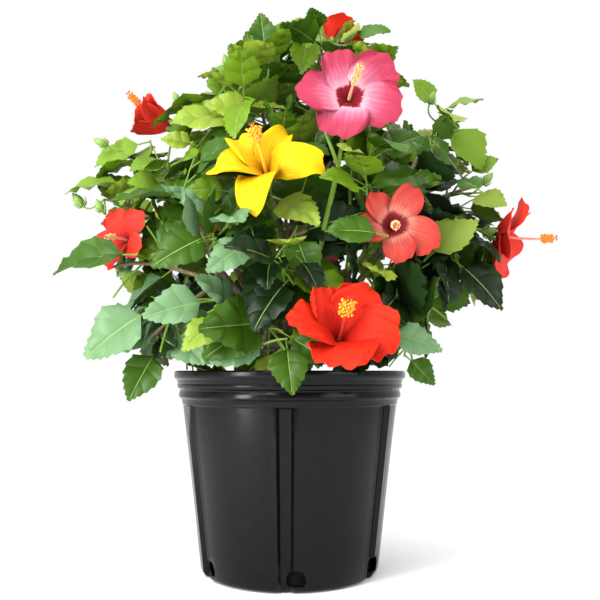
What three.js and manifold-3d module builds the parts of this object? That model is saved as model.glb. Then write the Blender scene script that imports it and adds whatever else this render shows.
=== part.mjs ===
// A tropical hibiscus shrub in a black nursery pot, in millimetres, +Z up.
// The origin is the middle of the pot's flat underside, and -Y is the front.
// A short trunk stands on the potting mix. Boughs leave its knuckle, and each bough ends in a knuckle
// of its own, which the stems of the leaf masses and the stalks of the blooms spring from.
import * as THREE from "three";
import { ConvexGeometry } from "three/addons/geometries/ConvexGeometry.js";
import { mergeVertices } from "three/addons/utils/BufferGeometryUtils.js";
import Module from "manifold-3d";

const wasm = await Module();
wasm.setup();

// ---- Driving sizes ----------------------------------------------------------------------------

const clearance = 0.3; // between solids that touch
const viewReach = 60; // free space in front of the blooms and the leading leaves
const viewer = new THREE.Vector3(12, -885, 232); // the eye that looks at the show side
const degree = Math.PI / 180;
const goldenAngle = 137.5;
const up = new THREE.Vector3(0, 0, 1);
const front = new THREE.Vector3(0, -1, 0);

const potSize = {
  height: 235,
  footRadius: 106, // at the top of the rounded bottom corner
  shoulderRadius: 129.5, // where the wall meets the bands under the rim
  rimRadius: 140.5,
  wall: 2.4,
  floor: 4,
  channels: 6, // upright grooves between the panels, each beside a drain hole at its foot
  channelTurn: 4.5, // degrees that the front drain hole stands off the front
  channelFloor: [-9, -3], // degrees off the drain hole
  channelEdge: [-10.5, -1.5],
  channelDepth: 4.5,
  channelTop: 190,
  panelTop: 196,
  drainRadius: 10.5,
  drainHeight: 14,
  drainSill: 7.5,
};
const mixTop = 212; // the surface of the potting mix

const trunkSize = { top: 266, radius: 12, flare: 21, knuckle: 18, lean: 6 };
const boughSize = { root: 5.4, tip: 3.8, knuckle: 7.2, sides: 5, steps: 4 };
const stemSize = { root: 3.2, tip: 2.6, steps: 3 };
const twigSize = { heel: 1.3, tip: 2.3, lean: 50 };
const leafSize = {
  length: 84,
  widthShare: 0.76,
  petiole: 16,
  root: 0.5, // radius of the leaf stalk's root, which is sunk in the twig
  neck: 1.1, // radius of the leaf stalk where the blade begins
  fold: 14, // degrees that each half of the blade rises from the midrib
};
// The crown's outline: heights, and how far from the trunk's axis the leaves may reach there to the left
// and to the right. In between, the reach passes evenly from one to the other.
const crown = {
  heart: new THREE.Vector3(-8, 0, 330), // leaves turn their faces away from here
  reach: [
    [214, 126, 126], [235, 130, 130], [239, 184, 162], [262, 230, 184], [290, 218, 206],
    [325, 200, 250],
    [372, 232, 262], [424, 238, 268], [469, 256, 264], [520, 200, 256], [555, 150, 238],
    [605, 104, 208], [660, 62, 126], [695, 50, 78], [706, 30, 50], [710, 0, 0],
  ],
};

// Each bough: azimuth in degrees from +X, distance out and height of its knuckle. Each shoot is a mass of
// foliage: azimuth, distance out and height of its middle, and the radius of the space that it keeps to.
const boughs = {
  upright_left: {
    tip: [-160, 28, 500],
    shoots: {
      top_left: [-140, 36, 625, 92],
      upper_left: [-142, 92, 545, 108],
      top_back_left: [128, 66, 590, 112],
    },
  },
  upright_right: {
    tip: [20, 50, 505],
    shoots: {
      top_middle: [-28, 42, 630, 98],
      top_right: [2, 76, 612, 84],
      top_back_right: [58, 88, 588, 112],
    },
  },
  right: {
    tip: [2, 128, 420],
    shoots: {
      right_high: [-4, 190, 548, 104],
      right_middle: [8, 222, 470, 108],
      right_front: [-24, 178, 392, 112],
    },
  },
  right_low: {
    tip: [-12, 112, 308],
    shoots: {
      right_low: [-6, 196, 330, 112],
      lower_right: [-38, 158, 288, 106],
    },
  },
  front_right: {
    tip: [-50, 100, 345],
    shoots: {
      front_right: [-46, 140, 446, 112],
      front_right_low: [-58, 150, 296, 106],
    },
  },
  front: {
    tip: [-94, 84, 335],
    shoots: {
      front_middle: [-96, 140, 356, 110],
      front_low: [-100, 138, 272, 104],
      middle_high: [-84, 70, 478, 114],
    },
  },
  front_left: {
    tip: [-137, 108, 335],
    shoots: {
      front_left: [-128, 152, 398, 112],
      left_low: [-163, 200, 362, 106],
      lower_left: [-148, 166, 284, 106],
    },
  },
  left: {
    tip: [-176, 116, 415],
    shoots: {
      left_high: [-172, 158, 492, 106],
      left_middle: [-168, 206, 438, 106],
    },
  },
  left_low: {
    tip: [174, 96, 290],
    shoots: {
      bottom_left: [-165, 150, 254, 100],
      back_left_low: [160, 176, 320, 114],
    },
  },
  back_left: {
    tip: [134, 116, 390],
    shoots: {
      back_left_high: [138, 150, 500, 112],
      back_left: [146, 200, 404, 114],
    },
  },
  back: {
    tip: [88, 112, 372],
    shoots: {
      back_high: [94, 132, 510, 114],
      back_middle: [100, 190, 412, 114],
      back_low: [84, 172, 300, 112],
    },
  },
  back_right: {
    tip: [44, 118, 385],
    shoots: {
      back_right_high: [40, 168, 506, 114],
      back_right: [40, 206, 400, 114],
      back_right_low: [22, 176, 296, 112],
    },
  },
};

// Each kind of bloom: petal length and half width, the angle from the bloom's axis at the petal's root and
// at its tip, how far its edges lift, its twist, the column's length, and its colour.
const bloomKinds = {
  pink: {
    length: 60, half: 29, opens: [50, 98], lift: 0.1, twist: 9, column: 40, colour: "#e8557f",
  },
  yellow: {
    length: 68, half: 24, opens: [22, 122], lift: 0.16, twist: 18, column: 46, colour: "#fbd90c",
  },
  red: {
    length: 66, half: 31, opens: [22, 100], lift: 0.2, twist: 14, column: 46, colour: "#f5341f",
  },
  coral: {
    length: 47, half: 20, opens: [44, 102], lift: 0.12, twist: 12, column: 38, colour: "#f4564c",
  },
  nodding: {
    length: 50, half: 22, opens: [40, 104], lift: 0.16, twist: 16, column: 60, colour: "#f4564c",
  },
  budding: {
    length: 46, half: 19, opens: [16, 90], lift: 0.2, twist: 20, column: 50, colour: "#f0402f",
  },
};

// Each bloom: its kind and bough, azimuth, distance out and height of its throat, the azimuth and
// elevation that it faces, the turn of its first petal, and its size against its kind.
const blooms = {
  bloom_front_pink: ["pink", "front_right", [-65, 155, 528], [-90, 8], 20, 1],
  bloom_front_yellow: ["yellow", "front", [-98, 165, 440], [-96, 24], 20, 1.04],
  bloom_front_red: ["red", "front", [-75, 196, 265], [-80, 34], 20, 0.95],
  bloom_right_coral: ["coral", "front_right", [-54, 186, 385], [-86, 6], 34, 1],
  bloom_right_red: ["nodding", "right", [-10, 254, 396], [-18, -20], 10, 1],
  bloom_top_red: ["red", "upright_right", [24, 66, 672], [40, 46], 30, 0.55],
  bloom_left_high: ["budding", "left", [-173, 156, 542], [-166, 20], 0, 1],
  bloom_left_red: ["coral", "left", [-163, 202, 388], [-118, 12], 24, 0.85],
  bloom_back_yellow: ["yellow", "back_left", [128, 190, 462], [122, 24], 15, 0.95],
  bloom_back_pink: ["pink", "back", [82, 220, 440], [84, 12], 50, 0.9],
  bloom_back_red: ["red", "back_right", [46, 226, 346], [48, 16], 5, 0.9],
};

// The leaves that lead the crown's outline on its show side: their mass, where the stalk joins its twig
// and where the tip is (azimuth, distance out, height), and how far the blade turns from facing up (0) to
// facing the front (1).
const leadingLeaves = [
  ["top_left", [-128, 48, 619], [-130, 57, 675], 0.9],
  ["top_middle", [-20, 58, 651], [-83, 30, 673], 0.5],
  ["top_middle", [-59, 41, 651], [-76, 52, 594], 0.85],
  ["top_right", [-8, 77, 662], [-11, 129, 663], 0.6],
  ["upper_left", [-125, 92, 529], [-145, 166, 515], 0.6],
  ["upper_left", [-127, 69, 576], [-147, 111, 599], 0.5],
  ["upper_left", [-112, 86, 530], [-135, 135, 539], 0.75],
  ["upper_left", [-147, 129, 496], [-154, 169, 503], 0.7],
  ["left_high", [-172, 175, 520], [-173, 242, 485], 0.55],
  ["left_high", [-169, 153, 493], [-162, 198, 471], 0.6],
  ["left_middle", [-158, 158, 456], [-155, 204, 450], 0.8],
  ["left_middle", [-167, 195, 458], [-169, 272, 447], 0.35],
  ["left_low", [-146, 201, 362], [-157, 282, 341], 0.45],
  ["left_low", [-145, 184, 362], [-134, 152, 398], 0.75],
  ["middle_high", [-120, 127, 432], [-134, 167, 431], 0.8],
  ["front_left", [-125, 135, 387], [-138, 195, 346], 0.7],
  ["front_left", [-103, 144, 372], [-117, 180, 335], 0.7],
  ["lower_left", [-146, 181, 306], [-156, 245, 250], 0.7],
  ["lower_left", [-121, 152, 309], [-135, 211, 289], 0.7],
  ["bottom_left", [-155, 163, 264], [-154, 198, 202], 0.8],
  ["front_low", [-90, 165, 267], [-88, 190, 211], 0.8],
  ["front_middle", [-87, 150, 379], [-81, 172, 324], 0.8],
  ["middle_high", [-97, 141, 420], [-80, 178, 381], 0.6],
  ["front_right", [-61, 149, 429], [-38, 209, 440], 0.45],
  ["front_right", [-59, 198, 371], [-78, 179, 374], 0.6],
  ["right_high", [-3, 187, 561], [-7, 240, 569], 0.4],
  ["right_high", [0, 187, 573], [-4, 155, 604], 0.85],
  ["right_high", [-9, 186, 534], [-15, 169, 473], 0.8],
  ["right_high", [-3, 205, 548], [-5, 239, 480], 0.7],
  ["right_middle", [-3, 221, 479], [-3, 262, 501], 0.6],
  ["right_middle", [-30, 184, 500], [-30, 192, 450], 0.8],
  ["right_middle", [-5, 223, 450], [-13, 264, 428], 0.7],
  ["right_middle", [-30, 246, 428], [-24, 214, 452], 0.75],
  ["right_front", [-24, 203, 360], [-20, 255, 300], 0.6],
  ["right_front", [-34, 180, 355], [-28, 236, 398], 0.6],
  ["lower_right", [-57, 180, 274], [-44, 218, 254], 0.6],
  ["lower_right", [-44, 172, 250], [-40, 200, 218], 0.8],
];

// Where the crown is open to a viewer: x and height in the plane of the trunk, and the opening's radius.
const openings = [
  [161, 559, 16],
  [206, 451, 15],
  [-141, 504, 10],
  [-228, 323, 25],
  [-181, 442, 7],
];

const masses = { twigs: 2, leavesOnStem: 6, leavesOnTwig: 4, tries: 9 };

// ---- Solids -----------------------------------------------------------------------------------

// A closed mesh as a solid, with its faces turned outwards.
function closed(points, faces) {
  const vertProperties = new Float32Array(points.flatMap((p) => [p.x, p.y, p.z]));
  const build = (triangles) =>
    new wasm.Manifold(
      new wasm.Mesh({ numProp: 3, vertProperties, triVerts: new Uint32Array(triangles.flat()) }),
    );
  const made = build(faces);
  return made.volume() > 0 ? made : build(faces.map(([a, b, c]) => [a, c, b]));
}

// A three.js geometry as a solid.
function solidOf(geometry) {
  const bare = geometry.index ? geometry.toNonIndexed() : geometry.clone();
  bare.deleteAttribute("normal");
  bare.deleteAttribute("uv");
  const merged = mergeVertices(bare, 1e-4);
  return new wasm.Manifold(
    new wasm.Mesh({
      numProp: 3,
      vertProperties: merged.attributes.position.array,
      triVerts: new Uint32Array(merged.index.array),
    }),
  );
}

// The largest body of several solids fused, which drops loose scraps and fills sealed hollows.
function fuse(solids) {
  const whole = wasm.Manifold.union(solids).setTolerance(0.02).simplify(0.02);
  return whole.decompose().reduce((best, body) => (body.volume() > best.volume() ? body : best));
}

function geometryOf(solid) {
  const mesh = solid.getMesh();
  return new THREE.BufferGeometry()
    .setAttribute("position", new THREE.BufferAttribute(mesh.vertProperties, 3))
    .setIndex(new THREE.BufferAttribute(mesh.triVerts, 1));
}

function boxOf(solid) {
  const { min, max } = solid.boundingBox();
  return new THREE.Box3(new THREE.Vector3(...min), new THREE.Vector3(...max));
}

// A limb along a curve: rings of corners whose radius tapers, closed by a flat cap at each end.
function limb(curve, radiusAt, sides, steps) {
  const points = [];
  const faces = [];
  let normal = null;
  for (let i = 0; i <= steps; i += 1) {
    const t = i / steps;
    const centre = curve.getPoint(t);
    const tangent = curve.getTangent(t);
    const guide = normal ?? (Math.abs(tangent.z) < 0.9 ? up : new THREE.Vector3(1, 0, 0));
    normal = guide.clone().addScaledVector(tangent, -guide.dot(tangent)).normalize();
    const across = tangent.clone().cross(normal);
    for (let j = 0; j < sides; j += 1) {
      const turn = (2 * Math.PI * j) / sides;
      const radius = radiusAt(t, turn);
      points.push(
        centre
          .clone()
          .addScaledVector(normal, radius * Math.cos(turn))
          .addScaledVector(across, radius * Math.sin(turn)),
      );
    }
  }
  for (let i = 0; i < steps; i += 1) {
    for (let j = 0; j < sides; j += 1) {
      const a = i * sides + j;
      const b = i * sides + ((j + 1) % sides);
      faces.push([a, b, b + sides], [a, b + sides, a + sides]);
    }
  }
  for (let j = 1; j < sides - 1; j += 1) {
    faces.push([0, j + 1, j], [steps * sides, steps * sides + j, steps * sides + j + 1]);
  }
  return closed(points, faces);
}

// The point on a limb's straight-sided axis at a share of its length.
function onLimb(curve, steps, share) {
  const before = Math.min(Math.floor(share * steps), steps - 1);
  const start = curve.getPoint(before / steps);
  return start.lerp(curve.getPoint((before + 1) / steps), share * steps - before);
}

function ball(centre, radius, around = 6, down = 4) {
  const sphere = new THREE.SphereGeometry(radius, around, down);
  return solidOf(sphere.translate(centre.x, centre.y, centre.z));
}

// A petal's blade: a fan on each side of its middle. The root's corners are left, right and below, and
// the outline runs from the left of the root round the tip to its right.
function petalBlade(root, outline, above, below) {
  const points = [...root, ...outline, above, below];
  const ring = [0, ...outline.map((_, i) => i + 3), 1];
  const [over, under] = [points.length - 2, points.length - 1];
  const faces = [[0, 1, 2], [1, 0, over], [0, 2, under], [2, 1, under]];
  for (let i = 0; i < ring.length - 1; i += 1) {
    faces.push([ring[i], ring[i + 1], over], [ring[i + 1], ring[i], under]);
  }
  return closed(points, faces);
}

// A leaf's blade on a three-cornered stalk. Both faces of the blade fan out from the stalk's neck.
function leafBlade(root, neck, outline) {
  const [left, right, keel] = [3, 4, 5];
  const tip = 6 + (outline.length - 1) / 2;
  const ring = outline.map((_, i) => i + 6);
  const faces = [[0, 1, 2], [1, 0, left], [1, left, right], [2, 1, right], [2, right, keel]];
  faces.push([0, 2, keel], [0, keel, left], [left, tip, right], [keel, right, ring.at(-1)]);
  faces.push([keel, ring[0], left]);
  for (let i = 0; i < ring.length - 1; i += 1) {
    faces.push([ring[i] < tip ? left : right, ring[i], ring[i + 1]], [keel, ring[i + 1], ring[i]]);
  }
  return closed([...root, ...neck, ...outline], faces);
}

// ---- Directions and seeded numbers ------------------------------------------------------------

function pointAt([azimuth, out, height]) {
  const angle = azimuth * degree;
  return new THREE.Vector3(out * Math.cos(angle), out * Math.sin(angle), height);
}

function directionAt([azimuth, elevation]) {
  const level = Math.cos(elevation * degree);
  const angle = azimuth * degree;
  return new THREE.Vector3(
    level * Math.cos(angle),
    level * Math.sin(angle),
    Math.sin(elevation * degree),
  );
}

// A stream of numbers from 0 to 1 that depends only on its three seeds.
function stream(mass, twig, leaf) {
  const modulus = 2147483647;
  let state = (mass * 7919 + twig * 104729 + leaf * 1299709 + 12345) % modulus;
  const next = () => {
    state = (state * 16807) % modulus;
    return state / modulus;
  };
  next();
  next();
  return next;
}

function perpendicular(vector, guide) {
  return guide.clone().addScaledVector(vector, -guide.dot(vector)).normalize();
}

// ---- What already stands, for the rule that nothing touches another piece ---------------------

const standing = [];

function stand(owner, solid) {
  standing.push({ owner, solid, box: boxOf(solid).expandByScalar(clearance) });
}

function isClear(solid, ignored) {
  const box = boxOf(solid);
  return !standing.some(
    (other) =>
      !ignored.includes(other.owner) &&
      other.box.intersectsBox(box) &&
      other.solid.minGap(solid, clearance * 2) < clearance,
  );
}

// Keeps the space in front of a solid free of what grows later.
function keepClearBefore(solid, direction, reach) {
  const points = [];
  const { vertProperties } = solid.getMesh();
  for (let i = 0; i < vertProperties.length; i += 3) {
    const point = new THREE.Vector3().fromArray(vertProperties, i);
    points.push(point, point.clone().addScaledVector(direction, reach));
  }
  stand("view", solidOf(new ConvexGeometry(points)));
}

// Keeps a line of sight through the crown free of leaves.
function keepOpen([x, height, radius]) {
  const middle = new THREE.Vector3(x, 0, height);
  const sight = middle.clone().sub(viewer).normalize();
  const [depth, sides] = [700, 8];
  const rod = new THREE.CylinderGeometry(radius, radius, depth, sides);
  rod.applyQuaternion(new THREE.Quaternion().setFromUnitVectors(new THREE.Vector3(0, 1, 0), sight));
  stand("view", solidOf(rod.translate(middle.x, middle.y, middle.z)));
}

// ---- Pot and potting mix ----------------------------------------------------------------------

// Height and radius of each ring of the pot's outside, from the foot to the rim, and of its inside.
function potRings() {
  const { height, footRadius, shoulderRadius, rimRadius, wall, floor } = potSize;
  const { channelTop, panelTop } = potSize;
  const wallRadius = (z) =>
    footRadius + ((shoulderRadius - footRadius) * (z - 7)) / (panelTop - 7);
  const outside = [
    [0, footRadius - 8],
    [2, footRadius - 2.4],
    [7, footRadius],
    [channelTop, wallRadius(channelTop)],
    [panelTop, shoulderRadius],
    [203.5, shoulderRadius + 2.6],
    [204.5, shoulderRadius + 5],
    [212, shoulderRadius + 4],
    [214.5, shoulderRadius + 6.6],
    [224, shoulderRadius + 7.4],
    [225.5, rimRadius - 0.4],
    [height, rimRadius],
  ];
  const inside = [
    [height, rimRadius - 6],
    [mixTop, shoulderRadius + 2.6],
    [channelTop, wallRadius(channelTop) - wall],
    [7 + floor, wallRadius(7 + floor) - wall],
    [floor, footRadius - 6],
  ];
  return { outside, inside };
}

// Angles of the corners of each ring, in degrees off the nearest drain hole.
function potTurns() {
  const { channels, channelFloor, channelEdge, channelTurn } = potSize;
  const sector = 360 / channels;
  const offsets = [-20, channelEdge[0], ...channelFloor, channelEdge[1], 9, 19, sector / 2];
  const turns = [];
  for (let i = 0; i < channels; i += 1) {
    offsets.forEach((off) => turns.push({ off, turn: -90 + channelTurn + i * sector + off }));
  }
  return turns;
}

// A closed solid of revolution, smaller than its rings by shrink, which dips in at the channels up to a
// height.
function turned(rings, shrink, channelTop) {
  const [from, to] = potSize.channelFloor;
  const dip = (off, z) => (off >= from && off <= to && z <= channelTop ? potSize.channelDepth : 0);
  const turns = potTurns();
  const count = turns.length;
  const points = [];
  const faces = [];
  rings.forEach(([z, radius]) => {
    turns.forEach(({ off, turn }) => {
      points.push(pointAt([turn, radius - dip(off, z) - shrink, z]));
    });
  });
  for (let i = 0; i < rings.length - 1; i += 1) {
    for (let j = 0; j < count; j += 1) {
      const a = i * count + j;
      const b = i * count + ((j + 1) % count);
      faces.push([a, b, b + count], [a, b + count, a + count]);
    }
  }
  const first = points.push(new THREE.Vector3(0, 0, rings[0][0])) - 1;
  const last = points.push(new THREE.Vector3(0, 0, rings.at(-1)[0])) - 1;
  const top = (rings.length - 1) * count;
  for (let j = 0; j < count; j += 1) {
    faces.push([first, (j + 1) % count, j], [last, top + j, top + ((j + 1) % count)]);
  }
  return closed(points, faces);
}

function drainHole(index) {
  const { channels, channelTurn, drainRadius, drainHeight, drainSill, footRadius } = potSize;
  const reach = 30;
  const arch = new THREE.Shape();
  const sill = drainSill - drainHeight;
  const half = Math.sqrt(drainRadius ** 2 - sill ** 2);
  const start = Math.atan2(sill, half);
  arch.absarc(0, 0, drainRadius, start, Math.PI - start, false);
  arch.closePath();
  const prism = new THREE.ExtrudeGeometry(arch, { depth: reach, bevelEnabled: false, curveSegments: 4 });
  prism.rotateX(Math.PI / 2).translate(0, reach - footRadius - reach / 2, drainHeight);
  prism.rotateZ((channelTurn + (index * 360) / channels) * degree);
  return solidOf(prism);
}

function makePot() {
  const { outside, inside } = potRings();
  let shell = turned([...outside, ...inside], 0, potSize.channelTop);
  for (let i = 0; i < potSize.channels; i += 1) shell = shell.subtract(drainHole(i));
  return shell;
}

function makeMix() {
  const { floor, channelTop } = potSize;
  const [, , wallTop, wallFoot, foot] = potRings().inside;
  const slope = (wallTop[1] - wallFoot[1]) / (wallTop[0] - wallFoot[0]);
  const atTop = wallTop[1] + slope * (mixTop - channelTop);
  const rings = [[floor + clearance, foot[1]], wallFoot, [mixTop, atTop]];
  return turned(rings, clearance * 2, mixTop); // twice, because the channels' sides are slightly twisted
}

// ---- Trunk and boughs -------------------------------------------------------------------------

const knuckles = {};

function makeTrunk() {
  const { top, radius, flare, knuckle, lean } = trunkSize;
  const foot = mixTop + clearance * 2;
  const curve = new THREE.QuadraticBezierCurve3(
    new THREE.Vector3(0, 0, foot),
    new THREE.Vector3(0, 0, (foot + top) / 2),
    new THREE.Vector3(lean, 0, top),
  );
  const radiusAt = (t, turn) => {
    const spread = Math.max(0, 1 - t / 0.35) ** 2;
    return radius + (flare - radius) * spread * (1 + 0.25 * Math.cos(4 * turn));
  };
  const centre = new THREE.Vector3(lean, 0, top);
  const solid = fuse([limb(curve, radiusAt, 8, 5), ball(centre, knuckle, 10, 7)]);
  knuckles.trunk = { centre, radius: knuckle, solid };
  return solid;
}

// A route from a knuckle to a point. It starts square to the knuckle's surface, swings out by swing about
// its own chord, and arrives along the given direction.
function route(knuckle, end, arrival, swing, arch) {
  const chord = end.clone().sub(knuckle.centre);
  const length = chord.length();
  const along = chord.clone().normalize();
  const rise = perpendicular(along, Math.abs(along.z) < 0.95 ? up : new THREE.Vector3(1, 0, 0));
  const bow = rise.applyAxisAngle(along, swing).multiplyScalar(length * arch);
  const first = knuckle.centre.clone().addScaledVector(chord, 0.35).add(bow);
  const leave = first.clone().sub(knuckle.centre).normalize();
  const start = knuckle.centre.clone().addScaledVector(leave, knuckle.radius + clearance);
  const second = end.clone().addScaledVector(arrival, -length * 0.33);
  return new THREE.CubicBezierCurve3(start, first, second, end);
}

// A limb along a curve, drawn in at its start until it is seated on the flats of its knuckle.
function seatedLimb(knuckle, curve, radiusAt, sides, steps) {
  const farthest = 5;
  const seat = clearance * 1.1;
  const inward = knuckle.centre.clone().sub(curve.v0).normalize();
  for (let i = 0; i < 3; i += 1) {
    const gap = knuckle.solid.minGap(limb(curve, radiusAt, sides, steps), farthest);
    curve.v0.addScaledVector(inward, gap - seat);
  }
  return limb(curve, radiusAt, sides, steps);
}

// The first route, of several that swing ever further, whose limb clears all that stands.
function clearLimb(name, knuckle, end, arrival, radiusAt, sides, steps) {
  const swings = 18;
  for (let i = 0; i < swings; i += 1) {
    const curve = route(knuckle, end, arrival, i * goldenAngle * degree, 0.06 + 0.025 * i);
    const solid = seatedLimb(knuckle, curve, radiusAt, sides, steps);
    if (isClear(solid, i < swings / 2 ? [] : ["view"])) return { curve, solid };
  }
  throw new Error(`${name} finds no clear way from its knuckle`);
}

function makeBough(name, tip) {
  const end = pointAt(tip);
  const arrival = end.clone().sub(knuckles.trunk.centre).normalize().add(up).normalize();
  const { root, knuckle, sides, steps } = boughSize;
  const taper = (t) => root + (boughSize.tip - root) * t;
  const wood = clearLimb(name, knuckles.trunk, end, arrival, taper, sides, steps).solid;
  const solid = fuse([wood, ball(end, knuckle)]);
  knuckles[name] = { centre: end, radius: knuckle, solid };
  return solid;
}

// ---- Blooms -----------------------------------------------------------------------------------

// Half the width of a petal at a share of its length, as a share of its widest.
function petalHalf(share) {
  const widest = 0.75;
  if (share < widest) return 0.08 + 0.92 * (share / widest) ** 1.2;
  return Math.sqrt(Math.max(0, 1 - ((share - widest) / (1 - widest)) ** 2.4));
}

// A point of a petal: share runs from root to tip, side from -1 to 1 across, and lift is off its face.
function petalPoint(kind, frame, share, side, lift) {
  const [inner, outer] = kind.opens.map((angle) => angle * degree);
  const opening = outer - inner;
  const angle = inner + opening * share;
  const out = (kind.length * (Math.cos(inner) - Math.cos(angle))) / opening;
  const forward = (kind.length * (Math.sin(angle) - Math.sin(inner))) / opening;
  const width = kind.half * petalHalf(share) * side;
  const off = kind.lift * kind.half * side * side * share + width * Math.sin(kind.twist * degree) + lift;
  return frame.throat
    .clone()
    .addScaledVector(frame.radial, out + 4.6 - off * Math.cos(angle))
    .addScaledVector(frame.facing, forward - 3 + off * Math.sin(angle))
    .addScaledVector(frame.across, width);
}

function makePetal(kind, frame) {
  const thickness = 1.6;
  const at = (share, side, lift = 0) => petalPoint(kind, frame, share, side, lift);
  const root = [at(0, -1), at(0, 1), at(0, 0, -3)];
  const stations = [0.45, 0.86];
  const outline = [
    ...stations.map((share) => at(share, -1)),
    at(1, 0),
    ...stations.toReversed().map((share) => at(share, 1)),
  ];
  return petalBlade(root, outline, at(0.6, 0, thickness / 2), at(0.6, 0, -thickness / 2));
}

// The tube in the middle of a bloom, thicker where its anthers are.
function makeColumn(throat, facing, rise, length) {
  const curve = new THREE.QuadraticBezierCurve3(
    throat.clone().addScaledVector(facing, -3),
    throat.clone().addScaledVector(facing, length * 0.5),
    throat.clone().addScaledVector(facing, length).addScaledVector(rise, length * 0.3),
  );
  return limb(curve, (t) => (t < 0.7 ? 1.8 : 5.2 - 8 * Math.abs(t - 0.75)), 4, 4);
}

function makeBloom(name, [kindName, bough, place, facingAngles, turn, size]) {
  const kind = { ...bloomKinds[kindName] };
  for (const part of ["length", "half", "column"]) kind[part] *= size;
  const throat = pointAt(place);
  const facing = directionAt(facingAngles);
  const rise = perpendicular(facing, up);
  const calyx = { length: 20, mouth: 7.5, root: 3 };
  const base = throat.clone().addScaledVector(facing, -calyx.length);
  const taper = (t) => 2.3 - 0.5 * t;
  const { solid: stalk } = clearLimb(name, knuckles[bough], base, facing, taper, 3, 4);
  const cup = limb(
    new THREE.LineCurve3(base.clone().addScaledVector(facing, -1.5), throat),
    (t) => calyx.root + (calyx.mouth - calyx.root) * t,
    5,
    1,
  );
  const column = makeColumn(throat, facing, rise, kind.column);
  const petals = [];
  for (let i = 0; i < 5; i += 1) {
    const radial = rise.clone().applyAxisAngle(facing, (turn + i * 72) * degree);
    petals.push(makePetal(kind, { throat, facing, radial, across: facing.clone().cross(radial) }));
  }
  petals.forEach((petal) => keepClearBefore(petal, facing, viewReach));
  return fuse([stalk, cup, column, ...petals]);
}

// ---- Masses of foliage ------------------------------------------------------------------------

// Half the width of a leaf at a share of its length, as a share of its widest.
function leafHalf(share) {
  return Math.max(0, Math.sin(Math.PI * share ** 0.66)) ** 0.92;
}

// A leaf that bends down evenly from its root. Its stalk is the first part of the bend, and its free part
// is what has to clear the twigs of its own mass too.
function makeLeaf(leaf) {
  const { base, along, face, length, stalk, droop } = leaf;
  const whole = stalk + length;
  const across = along.clone().cross(face);
  const fold = leafSize.fold * degree;
  const at = (reach, side, lift = 0) => {
    const angle = (droop * reach) / whole;
    const out = (Math.sin(angle) * whole) / droop;
    const fall = ((1 - Math.cos(angle)) * whole) / droop;
    const share = THREE.MathUtils.clamp((reach - stalk) / length, 0, 1);
    const width = 0.5 * leafSize.widthShare * length * leafHalf(share) * side;
    const rise = Math.abs(width) * Math.sin(fold) + lift;
    return base
      .clone()
      .addScaledVector(along, out + rise * Math.sin(angle))
      .addScaledVector(face, rise * Math.cos(angle) - fall)
      .addScaledVector(across, width * Math.cos(fold));
  };
  const corners = (centre, radius) =>
    [-1, 1, 3].map((thirds) =>
      centre
        .clone()
        .addScaledVector(face, radius * Math.cos((thirds * Math.PI) / 3))
        .addScaledVector(across, radius * Math.sin((thirds * Math.PI) / 3)),
    );
  const neck = corners(at(stalk, 0), leafSize.neck);
  const stations = [0.28, 0.66].map((share) => stalk + share * length);
  const outline = [
    ...stations.map((reach) => at(reach, -1)),
    at(whole, 0),
    ...stations.toReversed().map((reach) => at(reach, 1)),
  ];
  return {
    solid: leafBlade(corners(base, leafSize.root), neck, outline),
    free: leafBlade(corners(at(stalk * 0.7, 0), leafSize.neck), neck, outline),
  };
}

// The direction that a shoot's tip takes: upright at the top of the crown, hanging at its foot.
function shootAim(place) {
  const [azimuth, , height] = place;
  const elevation = THREE.MathUtils.clamp((height - 430) * 0.36, -42, 72);
  return directionAt([azimuth, elevation]);
}

// The leaf at a share of a twig, as one of several tries that turn round the twig.
function leafAt(twig, share, order, seeds, attempt) {
  const random = stream(...seeds);
  const base = onLimb(twig.curve, twig.steps, share);
  const tangent = twig.curve.getTangent(share);
  const away = base.clone().sub(crown.heart).normalize();
  const side = perpendicular(tangent, away);
  const swing = (attempt % 2 ? 1 : -1) * Math.ceil(attempt / 2) * 38;
  const turn = (order * goldenAngle + twig.turn + swing + 24 * (random() - 0.5)) * degree;
  const radial = side.applyAxisAngle(tangent, turn);
  const ends = share > 0.97;
  const along = radial
    .multiplyScalar(ends ? 0.12 : 0.8)
    .addScaledVector(tangent, ends ? 1 : 0.45)
    .addScaledVector(away, 0.25 + 0.35 * random())
    .normalize();
  const youth = [0.72, 0.88][order] ?? 1;
  const size = (0.84 + 0.3 * random()) * (1 - 0.04 * attempt) * youth;
  const tilt = 0.45 + 0.5 * random();
  const facing = up.clone().multiplyScalar(tilt).addScaledVector(away, 1);
  const face = perpendicular(along, facing);
  face.applyAxisAngle(along, 44 * degree * (random() - 0.5));
  return {
    base,
    along,
    face,
    length: leafSize.length * size,
    stalk: leafSize.petiole * (0.6 + 0.6 * random()),
    droop: (24 + 50 * random()) * Math.max(0.3, face.z) * degree,
  };
}

// How far the crown reaches at a point's height, on the point's side of the trunk's axis.
function crownReach(point) {
  const above = crown.reach.findIndex(([level]) => level > point.z);
  if (above < 1) return 0;
  const [low, high] = [crown.reach[above - 1], crown.reach[above]];
  const share = (point.z - low[0]) / (high[0] - low[0]);
  const left = THREE.MathUtils.lerp(low[1], high[1], share);
  const right = THREE.MathUtils.lerp(low[2], high[2], share);
  return (left + right) / 2 + (((right - left) / 2) * point.x) / Math.hypot(point.x, point.y);
}

function staysIn(space, solid) {
  const corners = solid.getMesh().vertProperties;
  for (let i = 0; i < corners.length; i += 3) {
    const corner = new THREE.Vector3(corners[i], corners[i + 1], corners[i + 2]);
    if (corner.distanceTo(space.centre) > space.radius) return false;
    if (Math.hypot(corner.x, corner.y) > crownReach(corner)) return false;
  }
  return true;
}

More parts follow.
